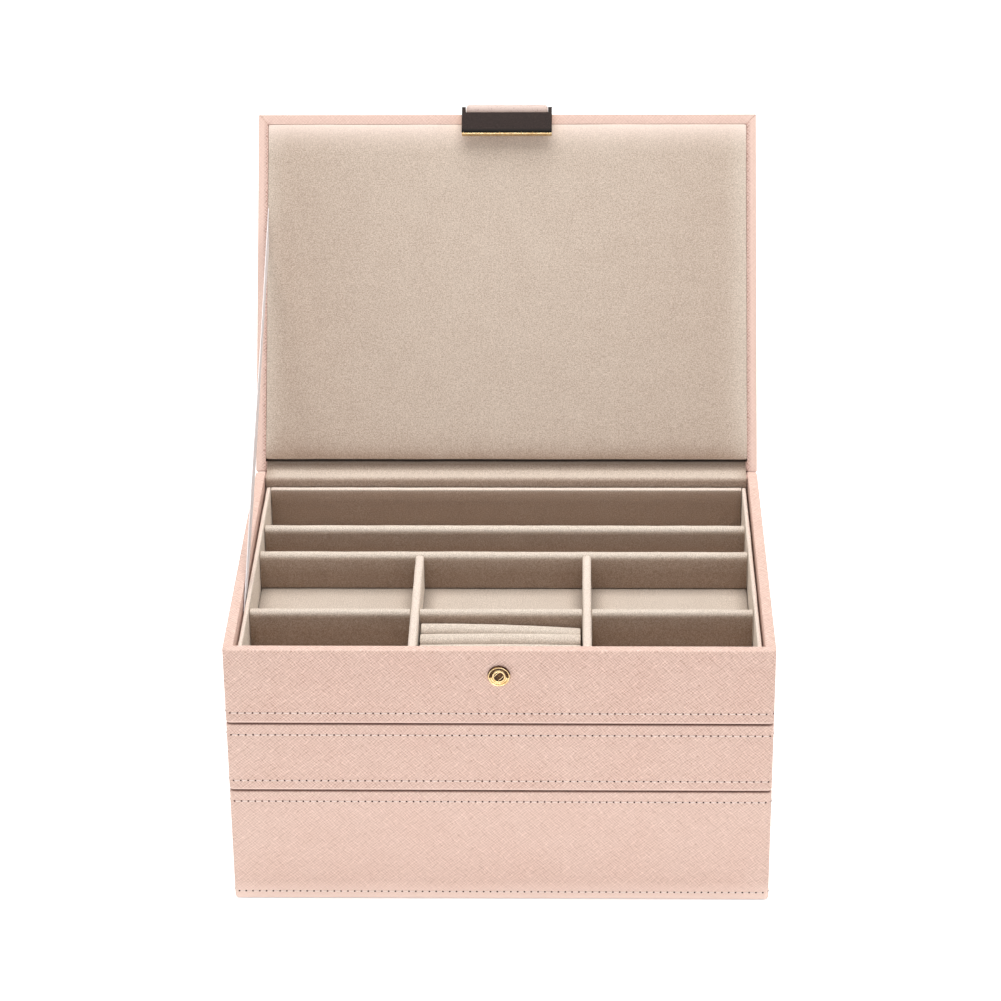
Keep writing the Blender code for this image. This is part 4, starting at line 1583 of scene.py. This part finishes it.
@dataclass
class LidShell:
    """The lid's leatherette-covered shell, made as if shut and then opened."""

    rim_round: float = 0.8 * MM
    inner_round: float = 0.15 * MM
    top: float = 3.0 * MM
    fold_width: float = 0.2 * MM
    fold_depth: float = 0.25 * MM
    fade_in: float = 3.0 * MM
    dark_edge: float = 2.3 * MM
    foot_line: float = 1.8 * MM

    def build(self) -> None:
        """Build the shell: recess, rounded edges, mitre folds and hinge rebate."""
        low, high = box_in("lid_shell", LID_PLACE)
        piece = Workpiece.block("lid_leatherette_shell", low, high)
        piece.pick(Part.FACE, lambda face: face.normal.z < -0.9)
        piece.inset(WALL)
        piece.extrude(Vector((0, 0, high.z - low.z - self.top)))
        self.mitres(piece, low, high)
        inner = WALL + self.fade_in
        clear = WALL - self.dark_edge
        piece.cut(0, low.x + inner, low.x + clear, high.x - clear, high.x - inner)
        piece.cut(1, low.y + inner)

        def margins(point: Vector) -> Pair:
            """Return how far inside the lid's sides and ends a point lies."""
            return inward(point.x, low.x, high.x), inward(point.y, low.y, high.y)

        def outside(edge: Edge) -> bool:
            """Tell whether an edge lies outside the walls' inner faces."""
            return all(min(margins(vert.co)) < CORNER for vert in edge.verts)

        piece.round(
            lambda edge: span(edge, 2) > self.top
            and all(max(margins(vert.co)) < TINY for vert in edge.verts),
            CORNER,
            7,
        )
        for radius, outer in ((self.rim_round, True), (self.inner_round, False)):
            piece.round(
                lambda edge: level(edge, low.z) and folded(edge, 0.8) and outer == outside(edge),
                radius,
                4,
            )
        piece.round(
            lambda edge: level(edge, high.z) and folded(edge, 0.8), self.rim_round * 1.5, 5
        )
        piece.cut(2, low.z + self.foot_line)
        step_rear(piece, high, low.z - WALL, low.z + REBATE)
        shell = piece.done(LEATHERETTE)
        self.paint_light_and_shade(shell, low, high)
        shell.data.transform(LID_PLACE)
        settle(shell, "lid", "leatherette", "lid_shell")

    def paint_light_and_shade(self, shell: bpy.types.Object, low: Vector, high: Vector) -> None:
        """Lay the painted shade of the rim and of the hinge end's foot, the rim's paleness and its
        hatch.

        Args:
            shell: The finished shell.
            low: The lower corner.
            high: The upper corner.
        """

        def on_rim(point: Vector) -> bool:
            """Tell whether a point lies on the flat of the rim."""
            return point.z < low.z + TINY

        def at_side(point: Vector) -> bool:
            """Tell whether a point lies on one of the two side walls."""
            return inward(point.x, low.x, high.x) < WALL + TINY

        def edge(point: Vector) -> float:
            """Return 1 at the side rims' inner edges, 0 a little farther out and in front."""
            depth = inward(point.x, low.x, high.x) - WALL + self.dark_edge
            return max(0.0, depth / self.dark_edge) if at_side(point) else 0.0

        def shade(point: Vector, _: Vector) -> float:
            """Painted shade: dark along the hinge end's foot, a little over the whole rim, and more
            on the side rims towards the pad.

            Args:
                point: The vertex's place.

            Returns:
                The shade there.
            """
            if point.y > high.y - TINY:
                return 1.0 if point.z < low.z + self.rim_round + TINY else 0.0
            return 0.2 + 0.24 * edge(point) if on_rim(point) else 0.0

        def rim_paleness_and_shade(point: Vector, _: Vector) -> float:
            """Paler, plainer stretched leatherette on the rim, most of all at its sides' outer
            edges, and less towards their inner edges, where the painted shade is.
            """
            share = 0.66 if at_side(point) else 0.5
            return share - 0.56 * edge(point) if on_rim(point) else 0.0

        paint(shell, "crease", shade)
        paint(shell, "fade", rim_paleness_and_shade)
        # The hatch grows darker and sharper towards the side rims' inner edges, along with the
        # painted shade there.
        paint(shell, "hatch", lambda co, _: edge(co) if on_rim(co) else 0.0)

    def mitres(self, piece: Workpiece, low: Vector, high: Vector) -> None:
        """Fold the leatherette over the rim's front corners in slanting creases.

        Args:
            piece: The shell.
            low: The lower corner.
            high: The upper corner.
        """
        for side in (low.x, high.x):
            across = Vector((1.0 if side < 0 else -1.0, -1.0, 0)).normalized()
            along = Vector((-across.y, across.x, 0))
            corner = Vector((side, low.y, low.z))

            def on_crease(vert: bmesh.types.BMVert) -> bool:
                """Tell whether a vertex lies on this corner's crease, on the rim.

                Args:
                    vert: The vertex.

                Returns:
                    True if it does.
                """
                gap = vert.co - corner
                near = gap.length < 2 * WALL
                return abs(gap.dot(across)) < TINY and abs(gap.z) < TINY and near

            piece.round(
                lambda edge: all(on_crease(vert) for vert in edge.verts)
                and abs((edge.verts[0].co - edge.verts[1].co).dot(along)) > WALL / 2,
                self.fold_width,
                2,
                0.1,
            )
            piece.pick(Part.VERT, on_crease)
            piece.move((0, 0, self.fold_depth))


@dataclass
class LidPad:
    """The velvet pad in the lid: card, wadding and cloth drawn over its edges."""

    side_gap: float = 0.05 * MM
    edge_round: float = 0.25 * MM
    corner: float = 0.8 * MM
    cell: float = 5.0 * MM
    fullness: float = 0.22 * MM
    give: float = 0.05 * MM
    swells: tuple[Pair, ...] = ((0.12 * MM, 34 * MM), (0.05 * MM, 9 * MM))

    def build(self) -> None:
        """Build the pad, let pressure fill it, smooth it, and paint its light and shade."""
        low, high = box_in("lid_pad", LID_PLACE)
        shell = box_in("lid_shell", LID_PLACE)
        room = WALL + self.side_gap
        low.x, high.x = shell[0].x + room, shell[1].x - room
        low.y = shell[0].y + room
        start = low + Vector((0, 0, self.fullness))
        piece = Workpiece.block("lid_velvet_pad", start, high)
        piece.round(lambda edge: span(edge, 2) > TINY, self.corner, 2)
        piece.round(lambda edge: level(edge, start.z), self.edge_round, 4)
        for axis in (0, 1):
            piece.slices(axis, low[axis], high[axis], self.cell)
        piece.puff((self.give, self.give, self.fullness), lambda co: co.z > high.z - TINY)
        piece.modify("SUBSURF", levels=1, render_levels=1)
        for amount, size in self.swells:
            piece.ruffle(amount, size)
        pad = piece.done(VELVET)
        pad.data.shade_smooth()

        def nap_and_light(point: Vector, _: Vector) -> float:
            """Painted light and shade: lighter along the front edge and the sides, darker towards
            the hinge.

            Args:
                point: The vertex's place.

            Returns:
                The painted lightness there.
            """
            front = fading(point.y - low.y, 40 * MM)
            hinge = fading(high.y - point.y, 5 * MM)
            left = math.exp(-(((point.x - low.x) / (6 * MM)) ** 2))
            right = math.exp(-(((high.x - point.x) / (8 * MM)) ** 2))
            valley = (0.24 if point.x < 0 else 0.17) * (point.x / high.x) ** 2
            return 0.53 + 0.08 * front + 0.26 * left + 0.34 * right - valley - 0.55 * hinge

        def bloom(point: Vector, _: Vector) -> float:
            """Painted highlight: palest where the cloth turns over the front edge."""
            return 0.78 * fading(point.y - low.y, 7.5 * MM) - 0.1

        paint(pad, "pile", nap_and_light)
        paint(pad, "bloom", bloom)
        pad.data.transform(LID_PLACE)
        settle(pad, "lid", "velvet", "lid_pad")


@dataclass
class HingeStrip:
    """A strip that is laid along a route round the hinge."""

    node: str
    name: str
    slot: str
    finish: Finish
    thickness: float
    bend: float
    steps: int
    columns: int
    unevenness: float
    swell: float
    reach: float

    def path(self) -> list[Pair]:
        """Return the (y, z) points of the strip's route."""
        raise NotImplementedError

    def paint_light_and_shade(self, strip: bpy.types.Object) -> None:
        """Shade the strip. A plain one needs no shade."""

    def build(self) -> None:
        """Build the strip with its soft waves along its route round the hinge."""
        low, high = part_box(self.node)
        width = high.x - low.x
        route = self.path()
        piece = Workpiece.strip(self.name, width, route)
        piece.divide(0, -width / 2, width / 2, self.columns)
        piece.thicken(self.thickness)
        piece.ruffle(self.unevenness, self.swell)
        strip = piece.done(self.finish)
        self.paint_light_and_shade(strip)
        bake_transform(strip)
        describe(strip, self.slot, self.node)


@dataclass
class HingeCloth(HingeStrip):
    """The velvet strip inside the hinge, laid over the rear wall and up under the pad."""

    node: str = "hinge_cloth"
    name: str = "hinge_velvet_cloth"
    slot: str = "velvet"
    finish: Finish = VELVET
    thickness: float = 0.4 * MM
    bend: float = 1.9 * MM
    steps: int = 8
    columns: int = 40
    unevenness: float = 0.12 * MM
    swell: float = 20 * MM
    reach: float = 2.2 * MM
    stand: float = 0.3 * MM
    valley: float = 3.4 * MM
    sunk_from: float = 7.5 * MM

    def path(self) -> list[Pair]:
        """Return the strip's route: up from behind the liner, over, and into the lid.

        Returns:
            The route's (y, z) points.
        """
        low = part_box("hinge_cloth")[0]
        lid_low, lid_high = box_in("hinge_cloth", LID_PLACE)
        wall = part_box("upper_shell")[1]
        half = self.thickness / 2
        slot, pad_side = low.y + half, lid_low.y + half
        seat = wall.z - REBATE + self.stand + half
        lid_seat = HINGE.z - seat
        route = [(slot, low.z)]
        route += arc((slot + self.bend, seat - self.bend), self.bend, 180, 90, self.steps)
        first = Vector((wall.y - self.valley, seat))
        last = Vector(in_world((-self.valley, lid_seat)))
        apex = Vector((last.x + (seat - last.y) * LID_WAY.y / LID_WAY.z, seat))
        for index in range(self.steps + 1):
            share = index / self.steps
            here, there = first.lerp(apex, share), apex.lerp(last, share)
            route.append(tuple(here.lerp(there, share)))
        over = (pad_side + self.bend, lid_seat + self.bend)
        route += [in_world(point) for point in arc(over, self.bend, -90, -180, self.steps)]
        route.append(in_world((pad_side, lid_high.z)))
        return route

    def paint_light_and_shade(self, strip: bpy.types.Object) -> None:
        """Paint the light, lighter on the upward faces, and the painted shade that darkens the
        cloth towards the pad, where it sinks behind it.

        Args:
            strip: The finished strip.
        """
        edge = LID_PLACE @ Vector((0, -self.sunk_from, 0))

        def painted_hollow_shade(point: Vector, _: Vector) -> float:
            """Painted shade: darker towards the pad, where the cloth sinks behind it."""
            along = (point - edge).dot(LID_WAY)
            return min(1.2 * (1 + along / (9 * MM)), 0.4 * (7.4 + along / MM))

        # Painted light: lighter on the upward faces.
        paint(strip, "pile", lambda _, normal: 0.1 + 0.6 * max(0.0, normal.z) ** 3)
        paint(strip, "crease", painted_hollow_shade)


@dataclass
class HingeSpine(HingeStrip):
    """The leatherette strip outside the hinge, folded into the angle behind the lid."""

    node: str = "hinge_spine"
    name: str = "hinge_leatherette_spine"
    slot: str = "leatherette"
    finish: Finish = LEATHERETTE
    thickness: float = 0.6 * MM
    bend: float = 0.9 * MM
    steps: int = 10
    columns: int = 24
    unevenness: float = 0.06 * MM
    swell: float = 18 * MM
    reach: float = 0.7 * MM

    def path(self) -> list[Pair]:
        """Return the strip's route: up the rear wall, round the angle and along the lid.

        Returns:
            The route's (y, z) points.
        """
        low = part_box("hinge_spine")[0]
        top = box_in("hinge_spine", LID_PLACE)[1].z
        behind = low.y + self.thickness / 2
        offset = behind - HINGE.y
        drop = (offset + self.bend) / math.tan(HINGE_ANGLE)
        centre = (behind + self.bend, HINGE.z - drop)
        end = 180 - math.degrees(LID_OPEN)
        bent = arc(centre, self.bend, 180, end, self.steps)
        return [(behind, low.z), *bent, in_world((offset, top))]


@dataclass
class StayRibbon:
    """The taut satin ribbon that stops the lid, with a thicker woven edge."""

    width: float = 10.0 * MM
    thickness: float = 0.36 * MM
    tuck: float = 12.0 * MM
    columns: int = 60
    rows: tuple[float, ...] = (-0.9, -0.5, 0.0, 0.5, 0.9)
    bow: float = 0.12 * MM

    def build(self) -> None:
        """Build the ribbon along its slant, with its edges slightly bowed."""
        points = np.array([vert.co for vert in frame["nodes"]["stay_ribbon"].data.vertices])
        centre = Vector(points.mean(0))
        spread = points - points.mean(0)
        lengthwise = Vector(np.linalg.svd(spread, full_matrices=False)[2][0])
        if lengthwise.z < 0:
            lengthwise = -lengthwise
        half = max(abs(Vector(row).dot(lengthwise)) for row in spread)
        corner = Vector((self.thickness / 2, half, self.width / 2))
        piece = Workpiece.block("satin_stay_ribbon", -corner, corner)
        piece.divide(1, -half, half, self.columns)
        piece.cut(2, *(corner.z * row for row in self.rows))
        piece.pick(Part.VERT, lambda vert: abs(vert.co.z) < self.width * 0.46)
        piece.resize((0.8, 1, 1))
        ribbon = piece.done(SATIN)

        def bowed(point: Vector, _: Vector) -> Vector:
            """Turn the ribbon's edges slightly out and in along its length."""
            bend = math.sin(point.y / half * math.pi * 1.5) * point.z / corner.z
            return point + Vector((self.bow * bend, 0, 0))

        reshape(ribbon.data, bowed)
        turn = Matrix.Rotation(math.atan2(lengthwise.z, lengthwise.y), 4, "X")
        ribbon.data.transform(Matrix.Translation(centre) @ turn)
        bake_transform(ribbon)
        describe(ribbon, "ribbon", "stay_ribbon")


@dataclass
class PressStud:
    """The socket of the press stud: a rolled gold ring with its spring wires."""

    sides: int = 64
    foot: float = 0.35
    profile: tuple[Pair, ...] = (
        (0.05, 0.5),
        (0.06, 0.15),
        (0.08, -0.15),
        (0.06, -0.4),
        (0.11, 0.0),
        (0.06, 0.35),
        (0.05, 0.15),
        (0.08, -0.05),
        (0.04, -0.5),
    )
    edge_round: float = 0.018
    wire: float = 0.32 * MM
    wire_round: float = 0.09 * MM
    wire_bow: float = 0.15 * MM

    def build(self) -> None:
        """Build the ring facing up, turn it to the front, and add the wires."""
        low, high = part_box("press_stud_cap")
        middle = (low + high) / 2
        radius = (high.x - low.x) / 2
        rise = high.y - low.y
        place = Matrix.Translation((middle.x, high.y, middle.z)) @ TO_FRONT
        piece = Workpiece.disc("press_stud_ring", radius, rise * self.foot, self.sides)
        piece.pick(Part.FACE, lambda face: face.normal.z > 0.9 and len(face.verts) > 4)
        for inset, up in self.profile:
            piece.inset(radius * inset)
            piece.move((0, 0, rise * up))
        piece.round(
            lambda edge: folded(edge, 0.25)
            and span(edge, 2) < TINY
            and min(vert.co.z for vert in edge.verts) > TINY,
            radius * self.edge_round,
            2,
        )
        ring = piece.done(GOLD, place)

        def away(point: Vector) -> float:
            """Return a point's distance from the socket's axis, as a share of the radius."""
            return (point - middle).xz.length / radius

        def above(point: Vector, share: float) -> bool:
            """Tell whether a point lies over a share of the radius from the middle."""
            return point.z - middle.z > share * radius

        # Painted shade and dark reflection on the gold: the upper part of the groove, the middle
        # well and the upper outer edge.
        GOLD_SHADE.dress_faces(ring, lambda co: 0.63 < away(co) < 0.86 and above(co, -0.12))
        GOLD_SHADE.dress_faces(ring, lambda co: away(co) < 0.43)
        GOLD_SHADE.dress_faces(ring, lambda co: away(co) > 0.93 and above(co, 0.2))
        settle(ring, "upper_tier", "gold", "press_stud_cap")
        self.wires(place, radius, rise)

    def wires(self, place: Matrix, radius: float, rise: float) -> None:
        """Add the two spring wires that cross the socket.

        Args:
            place: The socket's place.
            radius: The socket's radius.
            rise: The socket's depth.
        """
        tilt = Matrix.Rotation(math.radians(45), 4, "Z")
        low = Vector((-radius * 0.33, -self.wire / 2, -self.wire / 2))
        for side, name in ((-1, "stud_spring_left"), (1, "stud_spring_right")):
            piece = Workpiece.block(name, low, -low)
            piece.round(lambda edge: span(edge, 0) > TINY, self.wire_round, 2)
            piece.cut(0, 0.0)
            piece.pick(Part.VERT, lambda vert: abs(vert.co.x) < TINY)
            piece.move((0, side * self.wire_bow, 0))
            shift = Matrix.Translation((0, side * radius * 0.26, rise * 0.36))
            settle(piece.done(GOLD, place @ tilt @ shift), "upper_tier", "gold")


@dataclass
class Tab:
    """The closing tab: gold plate, enamel face and leather strap."""

    notch: float = 3.1 * MM
    opening: float = 41.25 * MM
    sheet: float = 0.4 * MM
    hem: float = 1.2 * MM
    lap: float = 0.5 * MM
    gold_line: float = 0.2 * MM
    plate_round: float = 0.16 * MM
    enamel_round: float = 0.12 * MM
    enamel_lines: Pair = (1.0 * MM, 2.2 * MM)
    strap_round: float = 0.22 * MM
    columns: int = 16
    shaded: float = 4.2 * MM
    shade_rows: int = 6

    def notched(self, name: str, low: Vector, high: Vector, round_by: float) -> Workpiece:
        """Shape a plate whose top is cut down between two ears for the strap.

        Args:
            name: The piece's name.
            low: The lower corner.
            high: The upper corner.
            round_by: How far its edges are rounded.

        Returns:
            The plate, open for editing.
        """
        half = self.opening / 2
        piece = Workpiece.block(name, low, high - Vector((0, 0, self.notch)))
        piece.cut(0, -half, half)
        piece.pick(
            Part.FACE,
            lambda face: face.normal.z > 0.9 and abs(face.calc_center_median().x) > half,
        )
        piece.extrude(Vector((0, 0, self.notch)))
        piece.round(lambda edge: folded(edge, 0.8), round_by, 3)
        return piece

    def build(self) -> None:
        """Build the tab's three pieces."""
        low, high = box_in("tab_plate", TAB_PLACE)
        plate = self.notched("gold_tab_plate", low, high, self.plate_round)
        half = self.opening / 2
        pocket = Workpiece.block(
            "pocket_cutter",
            Vector((-half, low.y + self.sheet, low.z + self.hem)),
            Vector((half, high.y - self.sheet, high.z + self.notch)),
        )
        plate.carve(pocket)
        settle(plate.done(GOLD, TAB_PLACE), "tab", "gold", "tab_plate")
        low, high = box_in("tab_enamel", TAB_PLACE)
        start = low + Vector((-self.lap, 0, self.gold_line))
        enamel = self.notched(
            "enamel_tab_face", start, high + Vector((self.lap, 0, self.lap)), self.enamel_round
        )
        dark, clear = (low.z + line for line in self.enamel_lines)
        enamel.cut(2, dark, clear)
        face = enamel.done(ENAMEL)
        # Painted shade: the enamel face darkens towards its bottom edge.
        paint(face, "crease", lambda co, _: (clear - co.z) / (clear - dark))
        face.data.transform(TAB_PLACE)
        settle(face, "tab", "enamel", "tab_enamel")
        self.build_strap(high.z + self.lap - self.notch)

    def build_strap(self, foot: float) -> None:
        """Build the strap along the frame's own strap, softened and shaded at its root.

        Args:
            foot: Where the plate's notch ends, in the tab's frame.
        """
        low, high = box_in("tab_strap", LID_PLACE)
        piece = Workpiece.node("leather_tab_strap", "tab_strap", LID_PLACE)
        bpy.ops.mesh.tris_convert_to_quads()
        sharp = {"limit_method": "ANGLE", "angle_limit": math.radians(60)}
        piece.modify("BEVEL", width=self.strap_round, segments=3, **sharp)
        piece.divide(0, low.x, high.x, self.columns)
        to_lid = LID_PLACE.inverted() @ TAB_PLACE
        upward = to_lid.to_3x3() @ Vector((0, 0, 1))
        for row in range(self.shade_rows + 1):
            height = foot + self.shaded * row / self.shade_rows
            piece.slice(to_lid @ Vector((0, 0, height)), upward)
        mode("OBJECT")
        strap = piece.obj

        def soften(point: Vector, normal: Vector) -> Vector:
            """Crumple the strap slightly, and draw it in where it turns over the lid.

            Args:
                point: The vertex's place.
                normal: The vertex's normal.

            Returns:
                The vertex's new place.
            """
            crest = max(0.0, 1 - (point.y - low.y) / (1.6 * MM))
            moved = point + normal * 0.1 * MM * noise.noise(point / (4 * MM))
            return Vector((moved.x * (1 - 0.05 * crest), moved.y, moved.z))

        def depth(point: Vector, _: Vector) -> float:
            """Shaded where the strap sinks between the plate's ears."""
            rise = (to_lid.inverted() @ point).z - foot
            return 0.85 * max(0.0, 1 - rise / self.shaded) ** 1.2

        reshape(strap.data, soften)
        bpy.ops.object.shade_smooth_by_angle(angle=SMOOTH_ANGLE)
        paint(strap, "crease", depth)
        strap.data.transform(LID_PLACE)
        STRAP.dress(strap)
        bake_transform(strap)
        describe(strap, "strap", "tab_strap")


class Studio:
    """The floor, the lamps, the background and the camera of the photo."""

    focal_pixels = 3279.3
    frame_pixels = 1001
    sensor = 36.0
    place = Vector((33.3 * MM, -1372.2 * MM, 867.9 * MM))
    pitch = math.radians(27.16)
    yaw = math.radians(1.42)
    roll = math.radians(-0.58)
    aim = Vector((0, 0, 0.12))
    lamp_colour = (1.0, 0.985, 0.96)
    softboxes = (
        ("top_softbox", Vector((0, 0.15, 1.7)), (1.5, 1.1), 25.5),
        ("front_fill", Vector((0.1, -2.4, 0.2)), (2.4, 0.6), 24.0),
        ("left_softbox", Vector((-1.7, 0.2, 0.9)), (1.0, 1.0), 6.0),
        ("right_softbox", Vector((1.7, 0.2, 0.9)), (1.0, 1.0), 6.0),
    )
    room_colour = (1.0, 0.99, 0.98)
    room_strength = 0.42
    floor_size = 12.0
    floor_drop = 0.2 * MM

    def camera(self) -> None:
        """Set up the camera at the photo's viewing angle."""
        data = bpy.data.cameras.new("photo_camera")
        data.sensor_width = self.sensor
        data.lens = self.focal_pixels * self.sensor / self.frame_pixels
        data.clip_start = 0.05
        data.clip_end = 50.0
        camera = bpy.data.objects.new("photo_camera", data)
        put_in_scene(camera)
        up = Vector((0, 0, 1))
        ahead = Vector((-math.sin(self.yaw), math.cos(self.yaw), 0))
        right = Vector((math.cos(self.yaw), math.sin(self.yaw), 0))
        forward = math.cos(self.pitch) * ahead - math.sin(self.pitch) * up
        upward = math.cos(self.pitch) * up + math.sin(self.pitch) * ahead
        side = math.cos(self.roll) * right + math.sin(self.roll) * upward
        top = -math.sin(self.roll) * right + math.cos(self.roll) * upward
        axes = Matrix((side, top, -forward)).transposed().to_4x4()
        camera.matrix_world = Matrix.Translation(self.place) @ axes
        bpy.context.scene.camera = camera

    def lamps(self) -> None:
        """Hang the large top lamp, the low front fill and the two side lamps."""
        for name, place, size, power in self.softboxes:
            data = bpy.data.lights.new(name, "AREA")
            data.shape = "RECTANGLE"
            data.size, data.size_y = size
            data.energy = power
            data.color = self.lamp_colour
            lamp = bpy.data.objects.new(name, data)
            lamp.location = place
            lamp.rotation_euler = (self.aim - place).to_track_quat("-Z", "Y").to_euler()
            put_in_scene(lamp)

    def background(self) -> None:
        """Make what lies behind the box plain white, and its own light soft."""
        world = bpy.data.worlds.new("white_room")
        bpy.context.scene.world = world
        board = NodeBoard(world)
        nodes = board.tree.nodes
        plain = nodes["Background"]
        board.give(plain.inputs["Color"], self.room_colour)
        board.give(plain.inputs["Strength"], self.room_strength)
        seen = board.add("Background", WHITE, 1.0)
        path = board.add("LightPath").outputs
        mirrored = board.maths("MAXIMUM", path["Is Glossy Ray"], path["Is Transmission Ray"])
        sees = board.maths("MAXIMUM", path["Is Camera Ray"], mirrored)
        both = board.add("MixShader", sees, plain.outputs[0], seen.outputs[0])
        board.give(nodes["World Output"].inputs[0], both.outputs[0])

    def floor(self) -> None:
        """Lay a plain white floor that keeps the box's soft shadow."""
        take_up()
        bpy.ops.mesh.primitive_plane_add(size=self.floor_size, location=(0, 0, -self.floor_drop))
        floor = bpy.context.active_object
        floor.name = "studio_floor"
        material = bpy.data.materials.new("white_floor")
        board = NodeBoard(material)
        board.set(Base_Color=screen(250, 250, 250), Roughness=0.9, Specular_IOR_Level=0.0)
        away = board.add("VectorMath", board.where(Source.OBJECT), operation="LENGTH")
        far = board.ramp(away.outputs["Value"], 0.6, 2.6, 0.42, 1.0)
        glow = board.add("Emission", Strength=far)
        nothing = board.add("Emission", Strength=0.0)
        path = board.add("LightPath").outputs
        seen = board.maths("MAXIMUM", path["Is Camera Ray"], path["Is Glossy Ray"])
        choice = board.add("MixShader", seen, nothing.outputs[0], glow.outputs[0])
        total = board.add("AddShader", board.shader.outputs[0], choice.outputs[0])
        board.give(board.tree.nodes["Material Output"].inputs[0], total.outputs[0])
        floor.data.materials.append(material)

    def build(self) -> None:
        """Set up the whole studio."""
        self.lamps()
        self.background()
        self.floor()
        bpy.context.scene.view_settings.view_transform = "Standard"


class JewelryBox:
    """The whole box: tiers, lining, lid, hinge and tab."""

    liner_round = 0.65 * MM
    liner_rear_round = 0.3 * MM
    # Painted highlight on the liners: its reach below the top edge, its strength, and its strength
    # on the tops.
    liner_nap_and_light = {"brow": 3.4 * MM, "lift": 0.6, "crest": 0.3}
    divider_round = 1.9 * MM
    column_round = 1.3 * MM
    # Painted highlight on the column dividers' tops.
    column_crest = 0.25
    dividers = {
        "upper": (
            "rear_long_divider",
            "second_long_divider",
            "left_column_divider",
            "right_column_divider",
            "left_row_divider",
            "centre_row_divider",
            "right_row_divider",
        ),
        "middle": (
            "middle_long_divider",
            "middle_left_cross_divider",
            "middle_right_cross_divider",
            "middle_rear_cross_divider",
        ),
        "lower": ("lower_long_divider", "lower_cross_divider"),
    }
    kept = (
        (
            BOARD,
            (
                "lower_base_board",
                "middle_base_board",
                "middle_plinth",
                "upper_base_board",
                "upper_plinth",
                "lid_pad_board",
            ),
        ),
        (FOAM, ("upper_foam_underlay",)),
        (GOLD, ("press_stud_rivet", "tab_snap_post")),
    )

    def shells(self) -> None:
        """Build the walls of the three tiers and the lid."""
        UpperShell("upper", seams_from_foot=(5.3 * MM,), rim_drop=0.0).build()
        TierShell("middle", (6.0 * MM,), (5.0 * MM,), 3.37 * MM, fade=0.08).build()
        # The lower tier stands on the floor: painted light over the lower part of its wall, and
        # little painted shade at its foot.
        ground = {"foot_painted_light": 1.0, "foot_glow": 9.0 * MM, "foot_shade": 0.25, "foot_drop": 0.0}
        TierShell("lower", (5.9 * MM,), (4.0 * MM,), 3.18 * MM, fade=0.2, **ground).build()
        LidShell().build()

    def lining(self) -> None:
        """Build the liners, floors and dividers of the three tiers."""
        for tier in ("lower", "middle", "upper"):
            body = f"{tier}_tier"
            for side in ("left", "right", "front", "rear"):
                liner, rounds = f"{tier}_{side}_liner", (self.liner_round, self.liner_rear_round)
                VelvetPanel(liner, body, *rounds, **self.liner_nap_and_light).build()
            walls = [f"{tier}_left_liner", f"{tier}_right_liner"]
            walls += [
                node for node in self.dividers[tier] if "column" in node or "cross" in node
            ]
            FloorPad(f"{tier}_floor_panel", body, tuple(walls)).build()
        for tier, nodes in self.dividers.items():
            for node in nodes:
                top, crest = self.divider_round, 0.0
                if "column" in node:
                    top, crest = self.column_round, self.column_crest
                VelvetPanel(node, f"{tier}_tier", top, crest=crest).build()
        for index in range(1, 5):
            RingRoll(index).build()

    def build(self) -> None:
        """Build and dress the whole box, and dress the frame nodes that stay as they are."""
        self.shells()
        self.lining()
        for part in (LidPad, HingeCloth, HingeSpine, StayRibbon, PressStud, Tab):
            part().build()
        for finish, nodes in self.kept:
            for node in nodes:
                finish.dress_node(node)


def main() -> None:
    """Build the studio and the box, in order."""
    logging.basicConfig(level=logging.INFO, format="%(message)s")
    studio = Studio()
    studio.camera()
    JewelryBox().build()
    studio.build()


if __name__ == "__main__":
    main()
